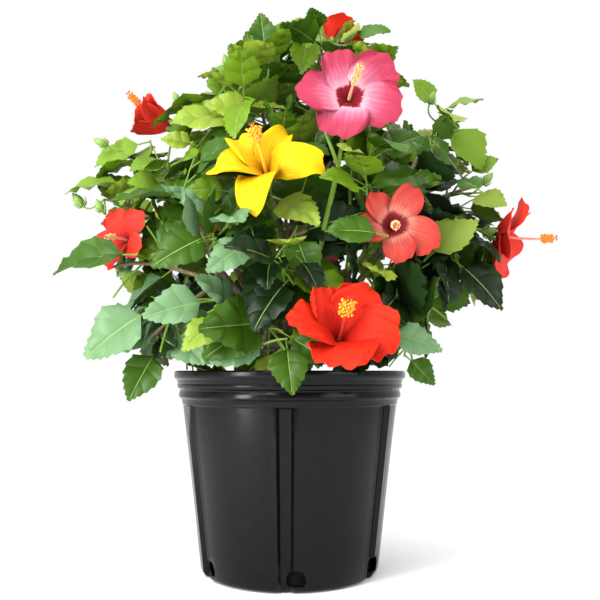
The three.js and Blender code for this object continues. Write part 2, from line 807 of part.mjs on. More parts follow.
// A mass's stem and its side twigs.
function growWood(name, bough, place, index) {
  const [azimuth, out, height, radius] = place;
  const middle = pointAt([azimuth, out, height]);
  const space = { centre: middle, radius };
  const aim = shootAim(place);
  const end = middle.clone().addScaledVector(aim, radius * 0.2);
  const taper = (t) => stemSize.root + (stemSize.tip - stemSize.root) * t;
  const stem = clearLimb(name, knuckles[bough], end, aim, taper, 3, stemSize.steps);
  const mass = { name, index, space, wood: [stem.solid], leaves: [] };
  const { steps } = stemSize;
  mass.twigs = [{ curve: stem.curve, steps, from: 0.4, turn: 0, count: masses.leavesOnStem }];
  stand(name, stem.solid);
  for (let i = 0; i < masses.twigs; i += 1) {
    const random = stream(index, i + 1, 0);
    const share = 0.42 + 0.26 * i;
    const start = onLimb(stem.curve, steps, share);
    const tangent = stem.curve.getTangent(share);
    const turn = (i * 180 + 90 + 60 * (random() - 0.5)) * degree;
    const outward = perpendicular(tangent, start.clone().sub(crown.heart).normalize());
    const radial = outward.applyAxisAngle(tangent, turn);
    const lean = twigSize.lean * degree;
    const way = tangent.clone().multiplyScalar(Math.cos(lean)).addScaledVector(radial, Math.sin(lean));
    const length = radius * (0.36 + 0.18 * random());
    const curve = new THREE.LineCurve3(start, start.clone().addScaledVector(way, length));
    const solid = limb(curve, (t) => THREE.MathUtils.lerp(twigSize.heel, twigSize.tip, t), 3, 1);
    if (isClear(solid, [name])) {
      mass.wood.push(solid);
      mass.twigs.push({ curve, steps: 1, from: 0.3, turn: 60, count: masses.leavesOnTwig });
      stand(name, solid);
    }
  }
  return mass;
}

// A leading leaf on a straight twig of its own, from whichever place on its mass's stem is free.
function growLeading([massName, rootPlace, tipPlace, turned]) {
  const mass = foliage.find(({ name }) => name === `foliage_${massName}`);
  const [root, tip] = [pointAt(rootPlace), pointAt(tipPlace)];
  const chord = tip.clone().sub(root);
  const droop = (22 + 26 * (1 - turned)) * degree;
  const whole = (chord.length() * droop) / (2 * Math.sin(droop / 2));
  const facing = up.clone().lerp(front, turned);
  const level = perpendicular(chord.clone().normalize(), facing);
  const across = chord.clone().normalize().cross(level);
  const along = chord.clone().normalize().applyAxisAngle(across, droop / 2);
  const face = level.applyAxisAngle(across, droop / 2);
  const [{ curve, steps }] = mass.twigs;
  const shares = [0.95, 0.85, 0.75, 0.65, 0.55, 0.45, 0.35];
  const starts = shares.map((share) => onLimb(curve, steps, share));
  starts.sort((one, other) => one.distanceTo(root) - other.distanceTo(root));
  for (const start of starts) {
    const way = root.clone().sub(start).normalize();
    const girth = (t) => THREE.MathUtils.lerp(twigSize.heel, twigSize.tip, t);
    const twig = limb(new THREE.LineCurve3(start, root), girth, 3, 1);
    const stalk = Math.min(leafSize.petiole, 0.2 * whole);
    const base = root.clone().addScaledVector(way, -2);
    const { solid, free } = makeLeaf({ base, along, face, length: whole - stalk, stalk, droop });
    const own = [mass.name, "view"];
    if (isClear(twig, own) && isClear(free, ["view"]) && isClear(solid, own)) {
      mass.wood.push(twig);
      mass.leaves.push(solid);
      stand(mass.name, twig);
      stand(`${mass.name} leaf`, solid);
      keepClearBefore(solid, front, viewReach);
      return;
    }
  }
}

// One leaf of one mass, at the first of its tries that keeps to its space and clears the rest.
function growLeaf(mass, twigIndex, order) {
  const twig = mass.twigs[twigIndex];
  if (!twig || order >= twig.count) return;
  const share = twig.from + ((1 - twig.from) * (twig.count - 1 - order)) / (twig.count - 1);
  for (let attempt = 0; attempt < masses.tries; attempt += 1) {
    const seeds = [mass.index, twigIndex, order + 1];
    const leaf = leafAt(twig, Math.min(share, 0.985), order, seeds, attempt);
    const { solid, free } = makeLeaf(leaf);
    if (staysIn(mass.space, solid) && isClear(free, []) && isClear(solid, [mass.name])) {
      mass.leaves.push(solid);
      stand(`${mass.name} leaf`, solid);
      return;
    }
  }
}

// ---- Assembly ---------------------------------------------------------------------------------

const finishes = {
  pot: { color: "#26272a", roughness: 0.42, metalness: 0 },
  mix: { color: "#3a2b21", roughness: 0.95, metalness: 0 },
  bark: { color: "#6b5440", roughness: 0.85, metalness: 0 },
  foliage: { color: "#3f7a26", roughness: 0.45, metalness: 0 },
};

const plant = new THREE.Group();

function place(name, solid, finish) {
  const mesh = new THREE.Mesh(geometryOf(solid), new THREE.MeshStandardMaterial(finish));
  mesh.name = name;
  plant.add(mesh);
}

function placeLimb(name, solid) {
  place(name, solid, finishes.bark);
  stand(name, solid);
}

const potShell = makePot();
const mixBody = makeMix();
place("pot", potShell, finishes.pot);
place("potting_mix", mixBody, finishes.mix);
stand("pot", potShell);
stand("potting_mix", mixBody);
placeLimb("trunk", makeTrunk());
for (const [name, { tip }] of Object.entries(boughs)) placeLimb(`bough_${name}`, makeBough(name, tip));

for (const [name, row] of Object.entries(blooms)) {
  const solid = makeBloom(name, row);
  place(name, solid, { color: bloomKinds[row[0]].colour, roughness: 0.5, metalness: 0 });
  stand(name, solid);
}

const foliage = [];
for (const [bough, { shoots }] of Object.entries(boughs)) {
  for (const [name, row] of Object.entries(shoots)) {
    foliage.push(growWood(`foliage_${name}`, bough, row, foliage.length + 1));
  }
}
openings.forEach(keepOpen);
leadingLeaves.forEach(growLeading);
for (let twig = 0; twig <= masses.twigs; twig += 1) {
  for (let order = 0; order < Math.max(masses.leavesOnStem, masses.leavesOnTwig); order += 1) {
    foliage.forEach((mass) => growLeaf(mass, twig, order));
  }
}
foliage.forEach((mass) => place(mass.name, fuse([...mass.wood, ...mass.leaves]), finishes.foliage));

export default plant;
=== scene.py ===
import math
import bmesh
import bpy
import numpy as np
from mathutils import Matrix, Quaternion, Vector
from mathutils.bvhtree import BVHTree


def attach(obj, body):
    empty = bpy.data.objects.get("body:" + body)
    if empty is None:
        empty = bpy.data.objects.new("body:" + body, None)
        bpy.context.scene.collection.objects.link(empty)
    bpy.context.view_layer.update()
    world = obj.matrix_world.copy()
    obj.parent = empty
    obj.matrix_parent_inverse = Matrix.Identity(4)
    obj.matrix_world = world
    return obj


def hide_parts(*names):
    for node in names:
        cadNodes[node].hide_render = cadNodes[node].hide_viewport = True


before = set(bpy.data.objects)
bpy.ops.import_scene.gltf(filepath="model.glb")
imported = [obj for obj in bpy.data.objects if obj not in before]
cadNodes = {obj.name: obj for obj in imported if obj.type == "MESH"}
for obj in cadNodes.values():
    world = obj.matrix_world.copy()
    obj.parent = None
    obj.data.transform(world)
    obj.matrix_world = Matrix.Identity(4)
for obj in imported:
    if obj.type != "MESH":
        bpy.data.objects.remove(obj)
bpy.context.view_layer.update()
print("frame loaded with", len(cadNodes), "nodes")

# All sizes are in millimetres. makePiece turns them into metres.
millimetre = 0.001
degree = math.pi / 180
goldenAngle = 137.5
up = Vector((0, 0, 1))
front = Vector((0, -1, 0))

cameraSettings = {"place": (12.4, -885, 232), "pitch": 5.86, "lens": 42.84, "sensor": 36}
eye = Vector(cameraSettings["place"])


def selectOnly(piece):
    bpy.ops.object.select_all(action="DESELECT")
    piece.select_set(True)
    bpy.context.view_layer.objects.active = piece


def applyModifier(piece, kind, **settings):
    selectOnly(piece)
    modifier = piece.modifiers.new(kind, kind)
    for name, value in settings.items():
        setattr(modifier, name, value)
    bpy.ops.object.modifier_apply(modifier=modifier.name)


def smoothByAngle(piece, angle):
    selectOnly(piece)
    bpy.ops.object.shade_smooth_by_angle(angle=angle * degree)


def makePiece(name, points, faces, materials, faceMaterials=None, uv=None, smooth=40, creases=None):
    mesh = bpy.data.meshes.new(name)
    mesh.from_pydata((np.asarray(points) * millimetre).tolist(), [], faces)
    for material in materials:
        mesh.materials.append(material)
    if faceMaterials is not None:
        mesh.polygons.foreach_set("material_index", faceMaterials)
    if uv is not None:
        layer = mesh.uv_layers.new(name="petal")
        corners = np.zeros(len(mesh.loops), dtype=np.int32)
        mesh.loops.foreach_get("vertex_index", corners)
        layer.data.foreach_set("uv", np.asarray(uv)[corners].ravel())
    piece = bpy.data.objects.new(name, mesh)
    bpy.context.collection.objects.link(piece)
    if creases is None:
        smoothByAngle(piece, smooth)
        return piece
    mesh.shade_smooth()
    ends = np.zeros(2 * len(mesh.edges), dtype=np.int32)
    mesh.edges.foreach_get("vertices", ends)
    ends = ends.reshape(-1, 2) % len(creases)
    sharp = mesh.attributes.new("sharp_edge", "BOOLEAN", "EDGE")
    sharp.data.foreach_set("value", creases[ends[:, 0], ends[:, 1]])
    return piece


def dress(piece, slot, *replaced):
    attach(piece, "root")
    if replaced:
        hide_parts(*replaced)


# Meshes of many small parts are gathered in a heap and become one piece.
class Heap:
    def __init__(self):
        self.points, self.faces, self.tints, self.count = [], [], [], 0

    def add(self, points, faces, tints=0):
        self.faces += [tuple(corner + self.count for corner in face) for face in faces]
        self.tints += [tints] * len(faces) if isinstance(tints, int) else list(tints)
        self.points.append(np.asarray(points, dtype=float).reshape(-1, 3))
        self.count += len(self.points[-1])

    def piece(self, name, materials, **settings):
        return makePiece(name, np.vstack(self.points), self.faces, materials, self.tints, **settings)


def camel(name):
    return "".join(word.capitalize() for word in name.split("_"))


# The faces between rings of points with the same number of sides, and the two ends.
def ringFaces(rings, sides):
    faces = []
    for i in range(rings - 1):
        for j in range(sides):
            a, b = i * sides + j, i * sides + (j + 1) % sides
            faces.append((a, b, b + sides, a + sides))
    last = (rings - 1) * sides
    return faces + [tuple(range(sides - 1, -1, -1)), tuple(range(last, last + sides))]


# A body turned round the upright axis from the height and radius of each ring, still open for editing.
def turnedBody(name, rings, around):
    height, radius = rings[0]
    bpy.ops.mesh.primitive_circle_add(
        vertices=around, radius=radius * millimetre, fill_type="NGON", location=(0, 0, height * millimetre)
    )
    piece = bpy.context.object
    piece.name = name
    bpy.ops.object.mode_set(mode="EDIT")
    for nextHeight, nextRadius in rings[1:]:
        rise = (nextHeight - height) * millimetre
        bpy.ops.mesh.extrude_region_move(TRANSFORM_OT_translate={"value": (0, 0, rise)})
        spread(nextRadius / radius, nextHeight)
        height, radius = nextHeight, nextRadius
    return piece


# Makes what is selected wider or narrower about the upright axis.
def spread(scale, height=0):
    bpy.ops.transform.resize(value=(scale, scale, 1), center_override=(0, 0, height * millimetre))


def closeBody():
    bpy.ops.mesh.select_all(action="SELECT")
    bpy.ops.mesh.normals_make_consistent(inside=False)
    bpy.ops.object.mode_set(mode="OBJECT")


def linear(colour):
    channels = [int(colour[i : i + 2], 16) / 255 for i in (1, 3, 5)]
    return tuple(c / 12.92 if c <= 0.04045 else ((c + 0.055) / 1.055) ** 2.4 for c in channels) + (1,)


# A material and the nodes that are added to it.
class Skin:
    def __init__(self, name, colour, roughness, specular=0.5):
        self.material = bpy.data.materials.new(name)
        self.material.use_nodes = True
        self.tree = self.material.node_tree
        self.shader = self.tree.nodes["Principled BSDF"].inputs
        shine = {"Roughness": roughness, "Specular IOR Level": specular}
        self.feed(self.shader, {"Base Color": linear(colour), **shine})

    # Each value is a socket to link, or a number or colour to set.
    def feed(self, inputs, values):
        for name, value in values.items():
            if isinstance(value, bpy.types.NodeSocket):
                self.tree.links.new(value, inputs[name])
            else:
                inputs[name].default_value = value

    def node(self, kind, output, values, **settings):
        node = self.tree.nodes.new(f"ShaderNode{kind}")
        for name, value in settings.items():
            setattr(node, name, value)
        self.feed(node.inputs, values)
        return node.outputs[output]

    def place(self):
        return self.node("TexCoord", "Object", {})

    def stretched(self, place, scale):
        return self.node("Mapping", "Vector", {"Vector": place, "Scale": scale})

    def noise(self, place, size, detail):
        grain = {"Scale": 1 / (size * millimetre), "Detail": detail}
        return self.node("TexNoise", "Fac", {"Vector": place, **grain})

    def ranged(self, value, given, wanted):
        ends = {"From Min": given[0], "From Max": given[1], "To Min": wanted[0], "To Max": wanted[1]}
        return self.node("MapRange", "Result", {"Value": value, **ends})

    def worked(self, operation, *values):
        return self.node("Math", "Value", dict(enumerate(values)), operation=operation)

    def tinted(self, share, base, colour):
        return self.node("Mix", 2, {0: share, 6: base, 7: linear(colour)}, data_type="RGBA")

    def ramp(self, factor, stops):
        output = self.node("ValToRGB", "Color", {"Fac": factor})
        elements = output.node.color_ramp.elements
        while len(elements) < len(stops):
            elements.new(0.5)
        for element, (position, colour) in zip(elements, stops):
            element.position = position
            element.color = linear(colour)
        return output

    def finished(self, colour, height, depth, strength=1.0):
        relief = {"Height": height, "Distance": depth * millimetre, "Strength": strength}
        normal = self.node("Bump", "Normal", relief)
        self.feed(self.shader, {"Base Color": colour, "Normal": normal})
        return self.material


# Blow-moulded black polyethylene: a waxy half gloss, a faint ripple down the wall and fine dull scuffs.
def polyethylene():
    skin = Skin("blackPolyethylene", "#070809", 0.3, 0.16)
    place = skin.place()
    ripple = skin.noise(skin.stretched(place, (1, 1, 0.12)), 28, 2)
    scuff = skin.noise(place, 6, 6)
    skin.feed(skin.shader, {"Roughness": skin.ranged(scuff, (0.3, 0.8), (0.2, 0.28))})
    return skin.finished(skin.ramp(scuff, [(0.3, "#030304"), (0.75, "#08090a")]), ripple, 0.9, 0.6)


# Composted pine bark: brown, fibrous and dull, each chip a little lighter or darker.
def pineBark(name, light, dark):
    skin = Skin(name, dark, 0.92, 0.15)
    grain = skin.noise(skin.place(), 5, 5)
    return skin.finished(skin.ramp(grain, [(0.32, dark), (0.7, light)]), grain, 1.2)


# Young hibiscus wood: thin grey-brown bark with an olive cast, fine cracks along it and pale pores.
def woodBark():
    skin = Skin("greyBrownBark", "#6b5842", 0.8)
    place = skin.place()
    pores = skin.node("TexVoronoi", "Distance", {"Vector": place, "Scale": 1 / (3.2 * millimetre)})
    patches = [(0.3, "#4a3a2a"), (0.52, "#6f5b42"), (0.72, "#7d7450")]
    bark = skin.ramp(skin.noise(place, 14, 4), patches)
    share = skin.ranged(pores, (0.12, 0.3), (0.55, 0))
    return skin.finished(skin.tinted(share, bark, "#a8987a"), pores, 0.5)


# Petals: thin, silky and matt, with veins that fan out from the throat. The map's second axis runs from the
# throat (0) to the rim (1), its first across the petal.
def petalSilk(name, veinColour, veinShare, *stops):
    veins = 9
    skin = Skin(name, stops[-1][1], 0.6, 0.15)
    petalMap = skin.node("UVMap", "UV", {}, uv_map="petal")
    across, outward = (skin.node("SeparateXYZ", axis, {"Vector": petalMap}) for axis in "XY")
    streak = skin.noise(skin.stretched(petalMap, (veins * 2.2, 3.2, 1)), 1 / millimetre, 3)
    placed = skin.worked("ADD", outward, skin.worked("MULTIPLY_ADD", streak, 0.16, -0.08))
    swerve = skin.worked("MULTIPLY", streak, 5.0)
    wave = skin.worked("SINE", skin.worked("MULTIPLY_ADD", across, math.pi * veins, swerve))
    sharp = skin.worked("ABSOLUTE", wave)
    line = skin.ranged(sharp, (0, 0.4), (veinShare, 0))
    fade = skin.ranged(outward, (0.25, 0.8), (1, 0))
    beyondEye = skin.ranged(placed, (0.18, 0.26), (0, 1))
    share = skin.worked("MULTIPLY", skin.worked("MULTIPLY", line, fade), beyondEye)
    return skin.finished(skin.tinted(share, skin.ramp(placed, stops), veinColour), sharp, 0.35, 0.7)


# Leaves: a cuticle with a soft wax gloss above, dull and paler below. Each spray has one of these greens.
# The greens are partly the leaves' own tones and partly painted light and shade: "sunny" is a painted sunlit
# green, given mostly high in the crown and to leaves at the tips of sprays, and "shade" is a painted shadow
# green for leaves low in the crown and at its right.
leafGreens = {
    "sunny": ("#768c2a", "#7c903a"),
    "fresh": ("#5c7b16", "#648226"),
    "deep": ("#33530e", "#40601e"),
    "shade": ("#10220a", "#1e3414"),
    "bluish": ("#5f8258", "#6e8e66"),
}


def plainSkin(*settings):
    return Skin(*settings).material


def leafSkins(name, above, below):
    return plainSkin(f"{name}LeafWax", above, 0.36, 0.18), plainSkin(f"{name}LeafUnderside", below, 0.6, 0.12)


finish = {
    "pot": polyethylene(),
    "chips": [
        pineBark("darkPineBark", "#4f3a2a", "#281c14"),
        pineBark("redPineBark", "#6f4a31", "#3a2518"),
        pineBark("greyPineBark", "#6a5d4e", "#3a322a"),
    ],
    # The peat is near black: partly its own dark brown, mostly painted shade for the inside of the pot seen
    # through the drain holes.
    "peat": pineBark("peatPaintedShade", "#0c0807", "#050404"),
    "bark": woodBark(),
    "leaves": [skin for name, pair in leafGreens.items() for skin in leafSkins(name, *pair)],
    "midrib": plainSkin("paleMidrib", "#7c9448", 0.5),
    "greenStem": plainSkin("greenStemSkin", "#688a2c", 0.5, 0.3),
    "sepal": plainSkin("sepalSkin", "#6a8a34", 0.5),
    "filament": plainSkin("filamentWax", "#e0907c", 0.5),
    "redFilament": plainSkin("redFilamentWax", "#b8301c", 0.5),
    "pollen": plainSkin("yellowPollen", "#e2a92c", 0.85),
    "creamPollen": plainSkin("creamPollen", "#dcae78", 0.85),
    "orangePollen": plainSkin("orangePollen", "#e07c26", 0.85),
    "petals": {
        "pink": petalSilk(
            "pinkPetalSilk", "#cf9aa8", 0.4, (0, "#5c0714"), (0.2, "#760c1c"), (0.25, "#c9949f"),
            (0.42, "#b2617a"), (0.68, "#9e334c"), (1, "#962b42"),
        ),
        # The yellow's darker veins are partly its own veins and partly painted shade, laid in the grooves of
        # the vein relief.
        "yellow": petalSilk(
            "yellowPetalSilk", "#b07c00", 0.4, (0, "#a87000"), (0.3, "#c49700"), (0.6, "#cfaa03"),
            (1, "#cba402"),
        ),
        "red": petalSilk(
            "redPetalSilk", "#8c0e06", 0.5, (0, "#7d0c08"), (0.22, "#a81407"), (0.6, "#bc1e09"),
            (1, "#c4240a"),
        ),
        "coral": petalSilk(
            "coralPetalSilk", "#d89a8c", 0.35, (0, "#500812"), (0.24, "#6c101b"), (0.33, "#b46c5e"),
            (0.52, "#a94138"), (1, "#a32f26"),
        ),
        "budding": petalSilk(
            "scarletPetalSilk", "#8f130f", 0.4, (0, "#84100e"), (0.3, "#b8241a"), (1, "#c83022"),
        ),
    },
}
print("materials ready")


cameraTurn = ((90 + cameraSettings["pitch"]) * degree, 0, 0)
bpy.ops.object.camera_add(location=eye * millimetre, rotation=cameraTurn)
camera = bpy.context.object
camera.data.lens = cameraSettings["lens"]
camera.data.sensor_width = cameraSettings["sensor"]
bpy.context.scene.camera = camera

studio = {
    "floorReach": 6000, "floorLevel": -0.5, "floorColour": "#fbfbfa",
    "worldColour": "#ffffff", "worldLight": 1.0,
}
bpy.context.scene.view_settings.view_transform = "Standard"


def makeStudio():
    reach, level = studio["floorReach"] * millimetre, studio["floorLevel"] * millimetre
    bpy.ops.mesh.primitive_plane_add(size=reach, location=(0, 0, level))
    floor = bpy.context.object
    floor.name = "paleFloor"
    colour = studio["floorColour"]
    paint = Skin("palePaint", colour, 0.8)
    grain = paint.noise(paint.place(), 25, 3)
    floor.data.materials.append(paint.finished(linear(colour), grain, 0.1))
    world = bpy.data.worlds.new("studioWorld")
    world.use_nodes = True
    background = world.node_tree.nodes["Background"]
    background.inputs["Color"].default_value = linear(studio["worldColour"])
    background.inputs["Strength"].default_value = studio["worldLight"]
    bpy.context.scene.world = world


lamps = {
    "keyLamp": {"place": (-700, -1100, 1500), "aim": (0, 0, 350), "size": 900, "power": 26},
    "fillLamp": {"place": (1100, -900, 700), "aim": (0, 0, 300), "size": 900, "power": 8},
    "topLamp": {"place": (100, 300, 1700), "aim": (0, 0, 400), "size": 1200, "power": 10},
    "stripLamp": {"place": (-1000, -1050, 330), "aim": (0, 0, 150), "size": 260, "tall": 900, "power": 24},
}


def makeLamps():
    for name, lamp in lamps.items():
        place = Vector(lamp["place"])
        turn = (Vector(lamp["aim"]) - place).to_track_quat("-Z", "Y").to_euler()
        bpy.ops.object.light_add(type="AREA", location=place * millimetre, rotation=turn)
        made = bpy.context.object
        made.name = name
        made.data.shape = "RECTANGLE"
        made.data.size = lamp["size"] * millimetre
        made.data.size_y = lamp.get("tall", lamp["size"]) * millimetre
        made.data.energy = lamp["power"]


makeStudio()
makeLamps()
print("camera, floor and lamps placed")


pot = {
    "height": 235, "footRadius": 106, "shoulderRadius": 129.5, "rimRadius": 140.5,
    "wall": 2.4, "floor": 4,
    "channels": 6, "channelTurn": 4.5, "channelFloor": (-9.2, -2.8), "channelDepth": 4.5,
    "channelTop": 194, "panelTop": 196, "ridge": 0.9,
    "drainRadius": 10.5, "drainHeight": 14, "drainSill": 7.5,
    "around": 240, "edgeRound": 0.7, "edgeAngle": 32,
}


def wallRadius(height):
    slope = (pot["shoulderRadius"] - pot["footRadius"]) / (pot["panelTop"] - 7)
    return pot["footRadius"] + slope * (height - 7)


# Height and radius of each ring, from the middle of the underside, up the outside and down the inside.
def potProfile():
    shoulder, rim, wall = pot["shoulderRadius"], pot["rimRadius"], pot["wall"]
    outside = [(0, pot["footRadius"] - 8), (0.8, pot["footRadius"] - 4.6), (2.6, pot["footRadius"] - 1.8)]
    outside += [(7, pot["footRadius"])]
    outside += [(z, wallRadius(z)) for z in (30, 70, 110, 150, pot["channelTop"])]
    outside += [
        (pot["panelTop"] - 0.6, shoulder - 0.2), (pot["panelTop"] + 0.6, shoulder + 1.0),
        (pot["panelTop"] + 2, shoulder + 1.0),
        (202.5, shoulder + 2.2), (204, shoulder + 4.8), (206, shoulder + 5.2), (210.5, shoulder + 4.6),
        (212, shoulder + 3.6), (213.5, shoulder + 4.2), (215, shoulder + 6.6), (219, shoulder + 7.2),
        (220, shoulder + 6.4), (221, shoulder + 7.2), (224.4, shoulder + 7.6), (226, rim - 1.0),
        (228, rim), (233, rim), (234.4, rim - 0.6), (235, rim - 2),
    ]
    inside = [(235, rim - 4.6), (234.2, rim - 5.8), (232, rim - 6.2), (212, shoulder + 2.4)]
    inside += [(z, wallRadius(z) - wall) for z in (pot["channelTop"], 110, 30, 7 + pot["floor"])]
    inside += [(pot["floor"], pot["footRadius"] - 6)]
    return outside + inside


# Degrees that a point stands off the middle of the nearest channel, and half the width of its floor.
def channelSpan(point):
    sector = 360 / pot["channels"]
    low, high = pot["channelFloor"]
    turn = math.atan2(point.y, point.x) / degree - (-90 + pot["channelTurn"] + (low + high) / 2)
    return abs((turn + sector / 2) % sector - sector / 2), (high - low) / 2


# The floor of each channel on both faces of the wall, which is pushed in.
def inChannel(point):
    span, half = channelSpan(point)
    return span < half and point.z < pot["channelTop"] + 1 and point.xy.length > 90


# The panels' edges beside the channels, which stand a little proud.
def besideChannel(point):
    span, half = channelSpan(point)
    if not half + 1 < span < half + 2.5:
        return False
    return 6 < point.z < pot["channelTop"] + 1 and point.xy.length > wallRadius(point.z) - 1


def selectPoints(mesh, chosen):
    mesh.select_mode = {"VERT"}
    for vertex in mesh.verts:
        vertex.select = chosen(vertex.co / millimetre)
    mesh.select_flush_mode()


def makePot():
    piece = turnedBody("potShell", potProfile(), pot["around"])
    mesh = bmesh.from_edit_mesh(piece.data)
    for chosen, step in ((inChannel, -pot["channelDepth"]), (besideChannel, pot["ridge"])):
        selectPoints(mesh, chosen)
        spread(1 + step / wallRadius(100))
    closeBody()
    cutter = makeDrainCutters()
    applyModifier(piece, "BOOLEAN", operation="DIFFERENCE", object=cutter, solver="EXACT")
    bpy.data.objects.remove(cutter)
    applyModifier(
        piece, "BEVEL", width=pot["edgeRound"] * millimetre, segments=2, limit_method="ANGLE",
        angle_limit=pot["edgeAngle"] * degree, use_clamp_overlap=True,
    )
    piece.data.materials.append(finish["pot"])
    smoothByAngle(piece, 35)
    dress(piece, "pot_plastic", "pot")


# Six half-round drain holes, one beside the foot of each channel.
def makeDrainCutters():
    sill = (pot["drainSill"] - pot["drainHeight"]) * millimetre
    cutters = []
    for index in range(pot["channels"]):
        bpy.ops.mesh.primitive_cylinder_add(
            vertices=32, radius=pot["drainRadius"] * millimetre, depth=30 * millimetre,
            rotation=(90 * degree, 0, 0), location=(0, -pot["footRadius"] * millimetre, 0),
        )
        cutter = bpy.context.object
        bpy.ops.object.mode_set(mode="EDIT")
        bpy.ops.mesh.select_all(action="SELECT")
        bpy.ops.mesh.bisect(plane_co=(0, 0, sill), plane_no=(0, 0, -1), use_fill=True, clear_outer=True)
        bpy.ops.object.mode_set(mode="OBJECT")
        bpy.ops.transform.translate(value=(0, 0, pot["drainHeight"] * millimetre))
        turn = (pot["channelTurn"] + index * 360 / pot["channels"]) * degree
        cutter.location = Quaternion(up, turn) @ cutter.location
        cutter.rotation_euler.z = turn
        cutters.append(cutter)
    for cutter in cutters:
        cutter.select_set(True)
    bpy.context.view_layer.objects.active = cutters[0]
    bpy.ops.object.join()
    bpy.ops.object.transform_apply(location=True, rotation=True, scale=True)
    return bpy.context.object


makePot()
print("pot made")


mix = {
    "top": 212, "radius": 127.5, "mound": 3, "chips": 900, "chipLength": (5, 17),
    "chipWidth": (0.35, 0.7), "chipThickness": (1.2, 3), "chipRaggedness": 0.28,
}


# The body is drawn in the near-black peat, painted shade for the inside of the pot seen through the drain
# holes.
def makeMix():
    top = mix["top"]
    rings = [(pot["floor"] + 0.3, pot["footRadius"] - 9), (11, pot["footRadius"] - 8.2)]
    rings += [(height, wallRadius(height) - 7.6) for height in (100, 204)]
    rings += [(top - 1, mix["radius"] - 4), (top, 100), (top + 1, 60), (top + mix["mound"], 24)]
    piece = turnedBody("mixBody", rings, 72)
    closeBody()
    bpy.ops.object.transform_apply(location=True, rotation=True, scale=True)
    piece.data.materials.append(finish["peat"])
    smoothByAngle(piece, 40)
    dress(piece, "potting_mix", "potting_mix")


# Flat chips of bark lie in a jumble over the mix.
def makeChips():
    random = np.random.default_rng(7)
    heap = Heap()
    faces = [(0, 3, 2, 1), (4, 5, 6, 7), (0, 1, 5, 4), (1, 2, 6, 5), (2, 3, 7, 6), (3, 0, 4, 7)]
    for _ in range(mix["chips"]):
        out = (mix["radius"] - 9) * math.sqrt(random.uniform(0.01, 1))
        angle = random.uniform(0, 2 * math.pi)
        length = random.uniform(*mix["chipLength"])
        width, thickness = length * random.uniform(*mix["chipWidth"]), random.uniform(*mix["chipThickness"])
        half, ragged = np.array([length, width, thickness]) / 2, mix["chipRaggedness"]
        box = np.array([[x, y, z] for z in (-1, 1) for x, y in ((-1, -1), (1, -1), (1, 1), (-1, 1))])
        box = box * half * (1 + random.uniform(-ragged, ragged, (8, 3)))
        turn = Quaternion(up, random.uniform(0, 6.28)) @ Quaternion((1, 0, 0), random.normal(0, 0.35))
        turn = turn @ Quaternion((0, 1, 0), random.normal(0, 0.3))
        lift = mix["top"] + mix["mound"] * (1 - out / mix["radius"]) + random.uniform(-0.5, 2.2)
        centre = Vector((out * math.cos(angle), out * math.sin(angle), lift))
        heap.add([turn @ Vector(corner) + centre for corner in box], faces, int(random.integers(3)))
    piece = heap.piece("barkChips", finish["chips"], smooth=25)
    dress(piece, "potting_mix")


makeMix()
makeChips()
print("potting mix and bark chips made")


leafSize = {"length": 84, "widthShare": 0.76, "petiole": 16, "fold": 14}
leafHabit = {
    "swing": 38, "scatter": 24, "atTip": (0.12, 1), "onTwig": (0.8, 0.45), "outwards": (0.25, 0.35),
    "youth": (0.72, 0.88, 1), "size": (0.84, 0.3), "shrink": 0.04, "upwards": (0.45, 0.5), "tilt": 44,
    "stalk": (0.6, 0.6), "droop": (24, 50), "leastDroop": 0.3,
}
leading = {
    "droop": (22, 26), "stalkShare": 0.2, "heel": 2, "miss": 4,
    "starts": (0.95, 0.85, 0.75, 0.65, 0.55, 0.45, 0.35),
}
masses = {
    "twigs": 2, "leavesOnStem": 6, "leavesOnTwig": 4, "tries": 9,
    "firstTwig": 0.42, "nextTwig": 0.26, "twigReach": (0.36, 0.18), "twigLean": 50,
}
trunkSize = {"top": 266, "radius": 12, "flare": 21, "knuckle": 18, "lean": 6}
boughSize = {"root": 5.4, "tip": 3.8, "knuckle": 7.2, "sides": 5}
viewReach, farReach = 60, 132
# The crown reaches this far to the left and to the right at each height.
crown = {
    "heart": Vector((-8, 0, 330)), "level": 430, "steepness": 0.36, "aims": (-42, 72),
    "reach": [
        (214, 126, 126), (235, 130, 130), (239, 184, 162), (262, 230, 184), (290, 218, 206),
        (325, 200, 250), (372, 232, 262), (424, 238, 268), (469, 256, 264), (520, 200, 256),
        (555, 150, 238), (605, 104, 208), (660, 62, 126), (695, 50, 78), (706, 30, 50), (710, 0, 0),
    ],
}
